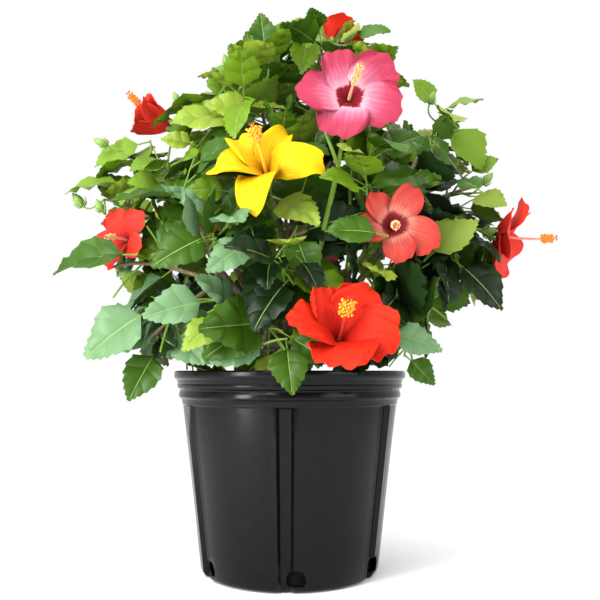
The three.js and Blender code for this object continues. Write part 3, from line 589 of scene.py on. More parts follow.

# Each bough's knuckle, then its masses of leaves: azimuth, distance out, height, radius of the mass's space
# and the greens of its sprays, where "sunny" paints light and "shade" paints shadow.
boughs = {
    "upright_left": ((-160, 28, 500), {
        "top_left": (-140, 36, 625, 92, "fresh deep fresh"),
        "upper_left": (-142, 92, 545, 108, "fresh deep sunny"),
        "top_back_left": (128, 66, 590, 112, "fresh deep sunny"),
    }),
    "upright_right": ((20, 50, 505), {
        "top_middle": (-28, 42, 630, 98, "fresh sunny deep"),
        "top_right": (2, 76, 612, 84, "fresh fresh sunny"),
        "top_back_right": (58, 88, 588, 112, "fresh deep fresh"),
    }),
    "right": ((2, 128, 420), {
        "right_high": (-4, 190, 548, 104, "fresh deep sunny"),
        "right_middle": (8, 222, 470, 108, "fresh deep shade"),
        "right_front": (-24, 178, 392, 112, "deep fresh shade"),
    }),
    "right_low": ((-12, 112, 308), {
        "right_low": (-6, 196, 330, 112, "deep shade deep"),
        "lower_right": (-38, 158, 288, 106, "deep fresh shade"),
    }),
    "front_right": ((-50, 100, 345), {
        "front_right": (-46, 140, 446, 112, "fresh deep fresh"),
        "front_right_low": (-58, 150, 296, 106, "deep shade fresh"),
    }),
    "front": ((-94, 84, 335), {
        "front_middle": (-96, 140, 356, 110, "deep fresh shade"),
        "front_low": (-100, 138, 272, 104, "fresh bluish deep"),
        "middle_high": (-84, 70, 478, 114, "deep fresh deep"),
    }),
    "front_left": ((-137, 108, 335), {
        "front_left": (-128, 152, 398, 112, "fresh bluish deep"),
        "left_low": (-163, 200, 362, 106, "fresh deep bluish"),
        "lower_left": (-148, 166, 284, 106, "bluish deep bluish"),
    }),
    "left": ((-176, 116, 415), {
        "left_high": (-172, 158, 492, 106, "sunny fresh fresh"),
        "left_middle": (-168, 206, 438, 106, "fresh sunny deep"),
    }),
    "left_low": ((174, 96, 290), {
        "bottom_left": (-165, 150, 254, 100, "deep bluish shade"),
        "back_left_low": (160, 176, 320, 114, "deep fresh shade"),
    }),
    "back_left": ((134, 116, 390), {
        "back_left_high": (138, 150, 500, 112, "fresh sunny deep"),
        "back_left": (146, 200, 404, 114, "fresh deep fresh"),
    }),
    "back": ((88, 112, 372), {
        "back_high": (94, 132, 510, 114, "sunny fresh deep"),
        "back_middle": (100, 190, 412, 114, "fresh deep fresh"),
        "back_low": (84, 172, 300, 112, "deep shade bluish"),
    }),
    "back_right": ((44, 118, 385), {
        "back_right_high": (40, 168, 506, 114, "fresh sunny deep"),
        "back_right": (40, 206, 400, 114, "fresh deep fresh"),
        "back_right_low": (22, 176, 296, 112, "deep shade fresh"),
    }),
}

# The leaves that lead the outline: mass, where the stalk joins its twig, where the tip is, how far the blade
# turns from facing up (0) to facing the front (1), and its green.
leadingLeaves = [
    ("top_left", (-128, 48, 619), (-130, 57, 675), 0.9, "deep"),
    ("top_middle", (-20, 58, 651), (-83, 30, 673), 0.5, "fresh"),
    ("top_middle", (-59, 41, 651), (-76, 52, 594), 0.85, "fresh"),
    ("top_right", (-8, 77, 662), (-11, 129, 663), 0.6, "deep"),
    ("upper_left", (-125, 92, 529), (-145, 166, 515), 0.6, "sunny"),
    ("upper_left", (-127, 69, 576), (-147, 111, 599), 0.5, "fresh"),
    ("upper_left", (-112, 86, 530), (-135, 135, 539), 0.75, "sunny"),
    ("upper_left", (-147, 129, 496), (-154, 169, 503), 0.7, "sunny"),
    ("left_high", (-172, 175, 520), (-173, 242, 485), 0.55, "fresh"),
    ("left_high", (-169, 153, 493), (-162, 198, 471), 0.6, "fresh"),
    ("left_middle", (-158, 158, 456), (-155, 204, 450), 0.8, "fresh"),
    ("left_middle", (-167, 195, 458), (-169, 272, 447), 0.35, "fresh"),
    ("left_low", (-146, 201, 362), (-157, 282, 341), 0.45, "deep"),
    ("left_low", (-145, 184, 362), (-134, 152, 398), 0.75, "deep"),
    ("middle_high", (-120, 127, 432), (-134, 167, 431), 0.8, "fresh"),
    ("front_left", (-125, 135, 387), (-138, 195, 346), 0.7, "deep"),
    ("front_left", (-103, 144, 372), (-117, 180, 335), 0.7, "bluish"),
    ("lower_left", (-146, 181, 306), (-156, 245, 250), 0.7, "bluish"),
    ("lower_left", (-121, 152, 309), (-135, 211, 289), 0.7, "bluish"),
    ("bottom_left", (-155, 163, 264), (-154, 198, 202), 0.8, "deep"),
    ("front_low", (-90, 165, 267), (-88, 190, 211), 0.8, "deep"),
    ("front_middle", (-87, 150, 379), (-81, 172, 324), 0.8, "deep"),
    ("middle_high", (-97, 141, 420), (-80, 178, 381), 0.6, "sunny"),
    ("front_right", (-61, 149, 429), (-38, 209, 440), 0.45, "deep"),
    ("front_right", (-59, 198, 371), (-78, 179, 374), 0.6, "deep"),
    ("right_high", (-3, 187, 561), (-7, 240, 569), 0.4, "fresh"),
    ("right_high", (0, 187, 573), (-4, 155, 604), 0.85, "fresh"),
    ("right_high", (-9, 186, 534), (-15, 169, 473), 0.8, "deep"),
    ("right_high", (-3, 205, 548), (-5, 239, 480), 0.7, "fresh"),
    ("right_middle", (-3, 221, 479), (-3, 262, 501), 0.6, "fresh"),
    ("right_middle", (-30, 184, 500), (-30, 192, 450), 0.8, "deep"),
    ("right_middle", (-5, 223, 450), (-13, 264, 428), 0.7, "sunny"),
    ("right_middle", (-30, 246, 428), (-24, 214, 452), 0.75, "deep"),
    ("right_front", (-24, 203, 360), (-20, 255, 300), 0.6, "shade"),
    ("right_front", (-34, 180, 355), (-28, 236, 398), 0.6, "sunny"),
    ("lower_right", (-57, 180, 274), (-44, 218, 254), 0.6, "bluish"),
    ("lower_right", (-44, 172, 250), (-40, 200, 218), 0.8, "deep"),
]

# Where the crown is open to the eye: x and height in the plane of the trunk, and the opening's radius.
openings = [
    (166, 567, 20), (211, 455, 15), (-145, 510, 10), (-106, 353, 11), (-229, 323, 28), (-185, 446, 8),
    (147, 640, 22), (185, 622, 26), (-150, 600, 24), (-186, 566, 16), (-112, 640, 18), (-93, 668, 12),
    (232, 318, 18), (206, 290, 16), (-196, 250, 16), (262, 484, 20), (-30, 706, 10), (-262, 400, 12),
]

bloomKinds = {
    "pink": {
        "length": 60, "half": 26, "opens": (50, 98), "lift": 0.1, "twist": 9, "column": 31,
        "upturn": 0.66, "sway": 0.34, "anthers": (0.5, 3.6), "ruffle": 3.6, "waves": 4.4, "round": 0.42,
        "pollen": "creamPollen", "slot": "pink_petals",
    },
    "yellow": {
        "length": 68, "half": 21, "opens": (24, 138), "lift": 0.26, "twist": 22, "column": 38,
        "upturn": 0.62, "sway": -0.24, "anthers": (0.68, 7.0), "ruffle": 5.4, "waves": 2.2, "round": 0.6,
        "pollen": "pollen", "tube": 1, "slot": "yellow_petals",
    },
    "red": {
        "length": 66, "half": 32, "opens": (22, 100), "lift": 0.2, "twist": 14, "column": 42,
        "upturn": 0.4, "sway": 0.1, "anthers": (0.66, 6.6), "ruffle": 6.2, "waves": 5.2, "round": 0.4,
        "pollen": "pollen", "tube": 4, "slot": "red_petals",
    },
    "coral": {
        "length": 47, "half": 18, "opens": (44, 102), "lift": 0.14, "twist": 12, "column": 30,
        "upturn": -0.3, "sway": -0.1, "anthers": (0.6, 3.4), "ruffle": 2.6, "waves": 3.2, "round": 0.4,
        "pollen": "creamPollen", "slot": "coral_petals",
    },
    "nodding": {
        "length": 50, "half": 22, "opens": (40, 104), "lift": 0.16, "twist": 16, "column": 60,
        "upturn": 0.24, "sway": 0.0, "anthers": (0.76, 4.2), "ruffle": 2.4, "waves": 2.6, "round": 0.4,
        "pollen": "orangePollen", "slot": "coral_petals",
    },
    "budding": {
        "length": 46, "half": 19, "opens": (16, 90), "lift": 0.2, "twist": 20, "column": 50,
        "upturn": 0.3, "sway": 0.0, "anthers": (0.72, 3.8), "ruffle": 2.0, "waves": 2, "round": 0.4,
        "pollen": "orangePollen", "slot": "red_petals",
    },
}
# Kind, bough, throat (azimuth, out, height), facing (azimuth, elevation), turn and size of each bloom.
blooms = {
    "bloom_front_pink": ("pink", "front_right", (-65, 155, 528), (-90, 8), 20, 1),
    "bloom_front_yellow": ("yellow", "front", (-98, 165, 440), (-96, 24), 20, 1.04),
    "bloom_front_red": ("red", "front", (-75, 196, 265), (-80, 34), 20, 0.95),
    "bloom_right_coral": ("coral", "front_right", (-54, 186, 385), (-86, 6), 34, 1),
    "bloom_right_red": ("nodding", "right", (-10, 254, 396), (-18, -20), 10, 1),
    "bloom_top_red": ("red", "upright_right", (24, 66, 672), (40, 46), 30, 0.55),
    "bloom_left_high": ("budding", "left", (-173, 156, 542), (-166, 20), 0, 1),
    "bloom_left_red": ("coral", "left", (-163, 202, 388), (-118, 12), 24, 0.85),
    "bloom_back_yellow": ("yellow", "back_left", (128, 190, 462), (122, 24), 15, 0.95),
    "bloom_back_pink": ("pink", "back", (82, 220, 440), (84, 12), 50, 0.9),
    "bloom_back_red": ("red", "back_right", (46, 226, 346), (48, 16), 5, 0.9),
}
# The bloom at the left is only half open.
reshaped = {"bloom_left_high": {"opens": (6, 58), "lift": 0.34, "column": 54}}

# Blooms whose petals have the colour of another kind.
repainted = {"bloom_left_red": "budding", "bloom_right_red": "budding"}

# The green stem that shows under the pink bloom: its bough, its bloom, what it and its fork run through.
shownStem = {
    "bough": "front_right", "bloom": "bloom_front_pink", "radii": (3.4, 2.3),
    "through": [
        (-72, 128, 338), (-77, 149, 360), (-75, 151, 391), (-72, 154, 425), (-69, 152, 459), (-64, 138, 501),
    ],
    "fork": [(-69.4, 152, 450), (-73, 153, 474), (-77, 146, 506)],
}

# Buds: the mass whose stem carries it, where its foot stands, the way it points and its length.
buds = [
    ("left_middle", (-170, 252, 432), (-172, 50), 20),
    ("left_middle", (-163, 228, 420), (-150, 60), 16),
    ("left_high", (-170, 226, 508), (-168, 24), 18),
    ("top_left", (-118, 60, 612), (-120, 70), 17),
    ("upper_left", (-132, 108, 590), (-130, 62), 15),
    ("top_middle", (-60, 44, 640), (-70, 60), 15),
    ("right_high", (-14, 176, 560), (-20, 66), 16),
    ("right_middle", (-8, 238, 462), (-10, 48), 18),
    ("upper_left", (-108, 78, 596), (-110, 74), 15),
    ("upper_left", (-150, 150, 548), (-150, 60), 14),
    ("back_high", (96, 150, 590), (90, 60), 18),
    ("back_left_high", (138, 190, 560), (140, 52), 18),
    ("back_right_high", (38, 200, 570), (40, 52), 18),
    ("back_middle", (100, 236, 470), (100, 44), 16),
]


def pointAt(place):
    azimuth, out, height = place
    return Vector((out * math.cos(azimuth * degree), out * math.sin(azimuth * degree), height))


def directionAt(azimuth, elevation):
    level = math.cos(elevation * degree)
    x, y = level * math.cos(azimuth * degree), level * math.sin(azimuth * degree)
    return Vector((x, y, math.sin(elevation * degree)))


def numberStream(mass, twig, leaf):
    modulus = 2147483647
    state = [(mass * 7919 + twig * 104729 + leaf * 1299709 + 12345) % modulus]

    def draw():
        state[0] = (state[0] * 16807) % modulus
        return state[0] / modulus

    draw()
    draw()
    return draw


def squareTo(vector, guide):
    return (guide - vector * guide.dot(vector)).normalized()


def turnedAbout(vector, axis, angle):
    return Quaternion(axis, angle) @ vector


def mixed(low, high, share):
    return low + (high - low) * share


# A curve is a tuple of control points: two for a straight line, four for a bend.
def curvePoint(curve, t):
    if len(curve) == 2:
        return curve[0].lerp(curve[1], t)
    s = 1 - t
    return curve[0] * s**3 + curve[1] * (3 * s * s * t) + curve[2] * (3 * s * t * t) + curve[3] * t**3


def curvePoints(curve, steps):
    return [curvePoint(curve, i / steps) for i in range(steps + 1)]


def curveTangent(curve, t):
    step = 0.001
    return (curvePoint(curve, min(1, t + step)) - curvePoint(curve, max(0, t - step))).normalized()


def onLimb(curve, steps, share):
    before = min(int(share * steps), steps - 1)
    start = curvePoint(curve, before / steps)
    return start.lerp(curvePoint(curve, (before + 1) / steps), share * steps - before)


def solidOf(name):
    mesh = cadNodes[name].data
    corners = [corner.co / millimetre for corner in mesh.vertices]
    return {
        "corners": [Vector(row) for row in np.unique(np.round([tuple(c) for c in corners], 3), axis=0)],
        "tree": BVHTree.FromPolygons(corners, [tuple(face.vertices) for face in mesh.polygons]),
    }


solids = {name: solidOf(name) for name in cadNodes if name.startswith(("bough", "bloom", "foliage"))}


def onSolid(name, points, tolerance=0.5):
    tree = solids[name]["tree"]
    return all(tree.find_nearest(point)[3] < tolerance for point in points)


# A limb may leave its knuckle in any of several bows. This is the one that its solid has.
def solidRoute(name, knuckle, end, arrival, sides):
    corners = sorted(solids[name]["corners"], key=lambda corner: (corner - knuckle).length)[:sides]
    seat = sum(corners, Vector()) / sides
    chord = end - knuckle
    along = chord.normalized()
    rise = squareTo(along, up if abs(along.z) < 0.95 else Vector((1, 0, 0)))
    firsts = []
    for swing in range(18):
        bow = turnedAbout(rise, along, swing * goldenAngle * degree) * chord.length
        firsts.append(knuckle + chord * 0.35 + bow * (0.06 + 0.025 * swing))
    leave = (seat - knuckle).normalized()
    first = max(firsts, key=lambda point: (point - knuckle).normalized().dot(leave))
    return (seat, first, end - arrival * chord.length * 0.33, end)


def tubeRings(centres, radii, sides, seed=0, knobble=0.0):
    random = np.random.default_rng(seed)
    normal = None
    rings = []
    for i, centre in enumerate(centres):
        tangent = (centres[min(i + 1, len(centres) - 1)] - centres[max(i - 1, 0)]).normalized()
        guide = normal or (up if abs(tangent.z) < 0.9 else Vector((1, 0, 0)))
        normal = squareTo(tangent, guide)
        across = tangent.cross(normal)
        for j in range(sides):
            turn = 2 * math.pi * j / sides
            radius = radii[i] * (1 + knobble * random.uniform(-1, 1))
            rings.append(centre + normal * radius * math.cos(turn) + across * radius * math.sin(turn))
    return rings


def addTube(heap, centres, radii, sides, tint=0, seed=0, knobble=0.0):
    heap.add(tubeRings(centres, radii, sides, seed, knobble), ringFaces(len(centres), sides), tint)


def addBead(heap, centre, radius, tint):
    corners = [(0, 0, 1), (0, 0, -1), (1, 0, 0), (0, 1, 0), (-1, 0, 0), (0, -1, 0)]
    faces = [(2, 3, 0), (3, 4, 0), (4, 5, 0), (5, 2, 0), (3, 2, 1), (4, 3, 1), (5, 4, 1), (2, 5, 1)]
    heap.add([centre + Vector(corner) * radius for corner in corners], faces, tint)


wood = {
    "voxel": 1.25, "relief": 1.1, "reliefGrain": 7, "boughSteps": 14, "boughSides": 12,
    "trunkSteps": 12, "trunkSides": 20, "collar": 1.1, "trunkHead": 0.94, "boughHead": 0.86,
    "buttressTop": 0.35, "buttressRibs": 4, "ribDepth": 0.25, "sunk": 8,
}
knuckles = {"trunk": Vector((trunkSize["lean"], 0, trunkSize["top"]))}


def makeWood():
    heap = Heap()
    foot, top = mix["top"] - wood["sunk"], trunkSize["top"]
    points, rings, sides = [], wood["trunkSteps"] + 1, wood["trunkSides"]
    for i in range(rings):
        share = i / wood["trunkSteps"]
        centre = Vector((trunkSize["lean"] * share * share, 0, mixed(foot, top, share)))
        above = max(0, centre.z - mix["top"]) / (top - mix["top"])
        buttress = max(0, 1 - above / wood["buttressTop"]) ** 2 * (trunkSize["flare"] - trunkSize["radius"])
        for j in range(sides):
            turn = 2 * math.pi * j / sides
            ribs = 1 + wood["ribDepth"] * math.cos(wood["buttressRibs"] * turn)
            radius = trunkSize["radius"] + buttress * ribs
            points.append(centre + Vector((radius * math.cos(turn), radius * math.sin(turn), 0)))
    heap.add(points, ringFaces(rings, sides))
    addKnuckle(heap, knuckles["trunk"], trunkSize["knuckle"] * wood["trunkHead"])
    for name, (tip, _) in boughs.items():
        end = pointAt(tip)
        arrival = ((end - knuckles["trunk"]).normalized() + up).normalized()
        curve = solidRoute(f"bough_{name}", knuckles["trunk"], end, arrival, boughSize["sides"])
        knuckles[name] = end
        steps, root, tip = wood["boughSteps"], boughSize["root"], boughSize["tip"]
        centres = [knuckles["trunk"].copy(), *curvePoints(curve, steps)]
        radii = [root * wood["collar"]] + [mixed(root, tip, i / steps) for i in range(steps + 1)]
        addTube(heap, centres, radii, wood["boughSides"])
        addKnuckle(heap, end, boughSize["knuckle"] * wood["boughHead"])
    piece = heap.piece("woodyFrame", [finish["bark"]])
    voxel = wood["voxel"] * millimetre
    applyModifier(piece, "REMESH", mode="VOXEL", voxel_size=voxel, use_smooth_shade=True)
    applyModifier(piece, "SMOOTH", iterations=4, factor=0.5)
    bark = bpy.data.textures.new("barkRelief", "CLOUDS")
    bark.noise_scale = wood["reliefGrain"] * millimetre
    bark.noise_depth = 3
    applyModifier(
        piece, "DISPLACE", texture=bark, texture_coords="LOCAL", mid_level=0.5,
        strength=wood["relief"] * millimetre,
    )
    smoothByAngle(piece, 60)
    dress(piece, "bark", "trunk", *[f"bough_{name}" for name in boughs])


def addKnuckle(heap, centre, radius):
    bpy.ops.mesh.primitive_ico_sphere_add(subdivisions=3, radius=radius)
    ball = bpy.context.object
    points = [vertex.co + centre for vertex in ball.data.vertices]
    heap.add(points, [tuple(face.vertices) for face in ball.data.polygons])
    bpy.data.objects.remove(ball)


makeWood()
print("trunk and boughs made")


# What already stands, so that leaves don't cut through each other.
standing = {"tree": [], "low": [], "high": []}
views = []


def stand(points, faces):
    points = np.asarray(points)
    standing["tree"].append(BVHTree.FromPolygons(points.tolist(), faces))
    standing["low"].append(points.min(axis=0))
    standing["high"].append(points.max(axis=0))


def isClear(points, faces):
    low, high = points.min(axis=0), points.max(axis=0)
    near = np.all((np.array(standing["low"]) < high) & (np.array(standing["high"]) > low), axis=1)
    tree = BVHTree.FromPolygons(points.tolist(), faces)
    return not any(tree.overlap(standing["tree"][index]) for index in np.flatnonzero(near))


# Keeps the space in front of some points free of what grows later.
def keepClearBefore(points, direction, reach):
    mesh = bmesh.new()
    for point in points:
        mesh.verts.new(point)
        mesh.verts.new(Vector(point) + direction * reach)
    bmesh.ops.convex_hull(mesh, input=mesh.verts)
    mesh.normal_update()
    normals = np.array([face.normal for face in mesh.faces])
    offsets = np.array([face.normal.dot(face.verts[0].co) for face in mesh.faces])
    views.append((normals, offsets))
    mesh.free()


# A point lies in an opening where the line from the eye to it passes through the opening's circle.
def fillsOpening(points):
    share = -eye.y / (points[:, 1] - eye.y)
    across = eye.x + (points[:, 0] - eye.x) * share
    height = eye.z + (points[:, 2] - eye.z) * share
    return any(np.any(np.hypot(across - x, height - z) < radius) for x, z, radius in openings)


def hidesView(points):
    if fillsOpening(points):
        return True
    return any(np.any(np.all(points @ normals.T < offsets, axis=1)) for normals, offsets in views)


stamen = {
    "sunk": 3, "tube": [2.1, 1.9, 1.7, 1.5, 1.4, 1.4, 1.3, 1.2, 1.0, 0.8], "count": 76, "last": 0.97,
    "filament": [0.32, 0.26], "grain": (1.25, 0.6),
}
stigma = {"knobs": 5, "spread": 2.6, "reach": 3.4, "stalk": [0.5, 0.4], "knob": 1.15}
columnSkins = ["filament", "pollen", "creamPollen", "orangePollen", "redFilament"]
calyx = {
    "behind": 20, "height": 17.5, "wall": 0.7, "sides": 20, "bracts": 7, "bract": [0.9, 1.0, 0.2],
    "rings": [(0.0, 2.6), (0.2, 5.0), (0.5, 6.4), (0.8, 7.4), (1.0, 8.2)],
}
bud = {
    "sides": 10, "bracts": 7, "bract": [0.8, 0.9, 0.2],
    "starts": (0.4, 0.55, 0.7, 0.85, 1.0), "stalk": [1.3, 1.2, 1.1, 1.0, 1.0, 1.1, 1.5],
    "rings": [(0, 0.1), (0.12, 0.2), (0.35, 0.3), (0.6, 0.26), (0.82, 0.15), (1, 0.02)],
}
petal = {
    "rows": 18, "columns": 20, "thickness": 0.5, "claw": 0.3, "flare": 0.78, "throat": 3.4, "sunk": 3,
    "groove": -0.9, "grooveWidth": 0.16, "coarseRag": 0.03, "fineRag": 0.02,
}
flowerStalk = [1.9] * 11 + [2.4]
# Degrees that each petal strays from even spacing, and its shares of the full length and width.
strays = {
    "bloom_front_pink": [(-4, 0.88, 0.86), (-5, 0.95, 0.98), (0, 0.92, 1.06), (8, 0.99, 1), (-2, 0.99, 1)],
    "bloom_front_yellow": [(22, 0.86, 0.75), (2, 0.94, 0.85), (6, 1, 1), (28, 1, 0.78), (30, 0.84, 0.72)],
    "bloom_front_red": [(-6, 0.9, 0.8), (-8, 1, 0.9), (4, 0.96, 1.05), (10, 1, 1), (-2, 0.96, 1.05)],
    "bloom_right_red": [(0, 1, 1.3), (4, 1.04, 1.3), (-4, 1, 1.35), (2, 1.05, 1.35), (0, 1, 1.3)],
    "bloom_right_coral": [(4, 0.86, 0.8), (-4, 0.94, 0.9), (10, 0.9, 0.9), (-10, 1.08, 1.1), (6, 1, 0.9)],
}


# Points of a petal: share runs from the throat to the rim, side from -1 to 1 across it.
def petalPoints(kind, basis, share, side, phase):
    throat, facing, radial, across = (np.array(vector) for vector in basis)
    inner, opening = kind["opens"][0] * degree, (kind["opens"][1] - kind["opens"][0]) * degree
    ragged = petal["coarseRag"] * np.sin(5.3 * side + 2.1 * phase)
    ragged = ragged + petal["fineRag"] * np.sin(12.1 * side + phase)
    rim = 1 - kind["round"] * (1 - np.sqrt(np.maximum(0, 1 - side**2))) + ragged * (1 - side**4)
    run = share * rim
    angle = inner + opening * run
    out = kind["length"] * (np.cos(inner) - np.cos(angle)) / opening
    forward = kind["length"] * (np.sin(angle) - np.sin(inner)) / opening
    widening = np.sin(math.pi / 2 * np.minimum(1, run / (1 - kind["round"]))) ** petal["flare"]
    width = kind["half"] * side * (petal["claw"] + (1 - petal["claw"]) * widening)
    wave = np.sin(2 * np.pi * kind["waves"] * (0.42 * side + 0.3 * share) + phase)
    ruffle = kind["ruffle"] * share**3 * (0.35 + 0.65 * side**2) * wave
    groove = petal["groove"] * np.exp(-((side / petal["grooveWidth"]) ** 2)) * share * (1 - share)
    off = kind["lift"] * kind["half"] * side**2 * share + width * math.sin(kind["twist"] * degree)
    off = off + ruffle + groove
    outwards = np.outer(out + petal["throat"] - off * np.cos(angle), radial)
    forwards = np.outer(forward - petal["sunk"] + off * np.sin(angle), facing)
    return throat + outwards + forwards + np.outer(width, across)


def gridFaces(rows, columns):
    span = columns + 1
    return [
        (i * span + j, i * span + j + 1, (i + 1) * span + j + 1, (i + 1) * span + j)
        for i in range(rows) for j in range(columns)
    ]


def makeBloom(name, row, stalks, columns):
    kindName, bough, place, facingAngles, turn, size = row
    kind = dict(bloomKinds[kindName], **reshaped.get(name, {}))
    silk = finish["petals"][repainted.get(name, kindName)]
    for part in ("length", "half", "column", "ruffle"):
        kind[part] *= size
    throat, facing = pointAt(place), directionAt(*facingAngles)
    rise = squareTo(facing, up)
    rows, cols = petal["rows"], petal["columns"]
    crosswise = np.linspace(-math.pi / 2, math.pi / 2, cols + 1)
    share, side = np.meshgrid(np.linspace(0, 1, rows + 1), np.sin(crosswise), indexing="ij")
    share, side = share.ravel(), side.ravel()
    faces = gridFaces(rows, cols)
    points, allFaces, uv = [], [], []
    for i in range(5):
        stray, longer, wider = strays.get(name, [(0, 1, 1)] * 5)[i]
        radial = turnedAbout(rise, facing, (turn + stray + i * 72) * degree)
        basis = (throat, facing, radial, facing.cross(radial))
        own = dict(kind, length=kind["length"] * longer, half=kind["half"] * wider)
        made = petalPoints(own, basis, share, side, phase=1.7 * i + turn)
        allFaces += [tuple(corner + len(points) * len(made) for corner in face) for face in faces]
        points.append(made)
        uv.append(np.column_stack(((side + 1) / 2, share)))
        edge = made[(share > 0.99) | (np.abs(side) > 0.99)][::4]
        keepClearBefore(edge, facing, viewReach)
        if place[0] < 0:
            keepClearBefore(edge, (eye - throat).normalized(), farReach)
        stand(made, faces)
    pieceName = f"petals{camel(name)[5:]}"
    piece = makePiece(pieceName, np.vstack(points), allFaces, [silk], uv=np.vstack(uv), smooth=180)
    applyModifier(piece, "SOLIDIFY", thickness=petal["thickness"] * millimetre, offset=0)
    smoothByAngle(piece, 50)
    dress(piece, kind["slot"], name)
    addColumn(columns, kind, throat, facing, rise)
    base = throat - facing * calyx["behind"]
    curve = solidRoute(name, knuckles[bough], base, facing, 3)
    centres = [knuckles[bough].copy(), *curvePoints(curve, 10)]
    addTube(stalks, centres, flowerStalk, 8, 0)
    addCalyx(stalks, base, facing, rise)


# The tube of stamens, with its filaments and pollen, and the five knobs of the stigma at its tip.
def addColumn(heap, kind, throat, facing, rise):
    length, sunk = kind["column"], stamen["sunk"]
    bend = rise * kind["upturn"] + rise.cross(facing) * kind["sway"]

    def place(t):
        return throat + facing * (-sunk + (length + sunk) * t * (1.1 - 0.1 * t)) + bend * length * t**1.6

    centres = [place(i / 9) for i in range(10)]
    tint, pollenTint = kind.get("tube", 0), columnSkins.index(kind["pollen"])
    addTube(heap, centres, stamen["tube"], 8, tint)
    random = numberStream(int(length), 3, 5)
    for i in range(stamen["count"]):
        t = mixed(kind["anthers"][0], stamen["last"], i / stamen["count"])
        at, ahead = place(t), (place(t + 0.02) - place(t)).normalized()
        radial = turnedAbout(squareTo(ahead, rise), ahead, i * goldenAngle * degree)
        reach = kind["anthers"][1] * (0.55 + 0.6 * random())
        end = at + radial * reach + ahead * 1.5
        addTube(heap, [at, end], stamen["filament"], 3, tint)
        addBead(heap, end, stamen["grain"][0] + stamen["grain"][1] * random(), pollenTint)
    tip, ahead = place(1), (place(1) - place(stamen["last"])).normalized()
    for i in range(stigma["knobs"]):
        radial = turnedAbout(squareTo(ahead, rise), ahead, i * 360 / stigma["knobs"] * degree)
        end = tip + radial * stigma["spread"] + ahead * stigma["reach"]
        addTube(heap, [tip, end], stigma["stalk"], 4, tint)
        addBead(heap, end, stigma["knob"], columnSkins.index("redFilament"))


# The green cup behind the petals, cut into five points, over a ring of narrow bracts.
def addCalyx(heap, base, facing, rise):
    across, sides = facing.cross(rise), calyx["sides"]
    rings = [(ring, 0) for ring in calyx["rings"]] + [(ring, calyx["wall"]) for ring in calyx["rings"][::-1]]
    points = []
    for (share, radius), wall in rings:
        for j in range(sides):
            turn = 2 * math.pi * j / sides
            tooth = abs(math.cos(2.5 * turn))
            height = calyx["height"] * share * (0.72 + 0.36 * tooth if share > 0.9 else 0.9)
            spot = radius * (1 + 0.12 * tooth * share) - wall
            outward = rise * math.cos(turn) + across * math.sin(turn)
            points.append(base + facing * height + outward * spot)
    heap.add(points, ringFaces(len(rings), sides), 1)
    for i in range(calyx["bracts"]):
        radial = turnedAbout(rise, facing, (i * 360 / calyx["bracts"] + 10) * degree)
        start, end = base + radial * 2.2, base + radial * 9.5 + facing * 8
        middle = (start + end) / 2 + radial * 1.6
        addTube(heap, [start, middle, end], calyx["bract"], 4, 1)


# A plump bud that tapers to a point, in a green cup over a ring of narrow bracts.
def addBud(heap, base, facing, length):
    rise = squareTo(facing, up if abs(facing.z) < 0.9 else front)
    across = facing.cross(rise)
    centres = [base + facing * length * share for share, _ in bud["rings"]]
    radii = [length * radius for _, radius in bud["rings"]]
    addTube(heap, centres, radii, bud["sides"], 1, int(length), 0.04)
    for i in range(bud["bracts"]):
        turn = 2 * math.pi * i / bud["bracts"]
        radial = rise * math.cos(turn) + across * math.sin(turn)
        middle, end = base + radial * length * 0.26, base + radial * length * 0.46 + facing * length * 0.4
        addTube(heap, [base, middle, end], bud["bract"], 4, 1)


# A way with its corners cut off twice, so that it runs smoothly.
def rounded(points):
    for _ in range(2):
        corners = [points[0]]
        for near, far in zip(points, points[1:]):
            corners += [near.lerp(far, 0.25), near.lerp(far, 0.75)]
        points = corners + [points[-1]]
    return points


def makeShownStem(heap):
    throat, facing = pointAt(blooms[shownStem["bloom"]][2]), directionAt(*blooms[shownStem["bloom"]][3])
    through, fork = ([pointAt(place) for place in shownStem[part]] for part in ("through", "fork"))
    thick, thin = shownStem["radii"]
    whole = [knuckles[shownStem["bough"]], *through, throat - facing * calyx["behind"]]
    for way, root, tip in ((whole, thick, thin), (fork, thin, 0.7 * thin)):
        way = rounded(way)
        radii = [mixed(root, tip, i / (len(way) - 1)) for i in range(len(way))]
        addTube(heap, way, radii, 8, 0)
        stand(tubeRings(way, radii, 8), gridFaces(len(way) - 1, 7))
    keepClearBefore(through, (eye - through[1]).normalized(), farReach)


stalks, stamens = Heap(), Heap()
for name, row in blooms.items():
    makeBloom(name, row, stalks, stamens)
makeShownStem(stalks)
print("blooms made")


leafBlade = {
    "rows": 7, "thickness": 0.8, "quilt": 0.085, "tooth": 0.042, "rib": 0.01, "middle": 0.55,
    "lean": 0.17, "curl": 0.09, "wave": 0.036, "petiole": [1.15, 0.9, 0.85, 0.95],
}


def leafHalf(share):
    return np.maximum(0, np.sin(np.pi * np.clip(share, 0, 1) ** 0.66)) ** 0.92


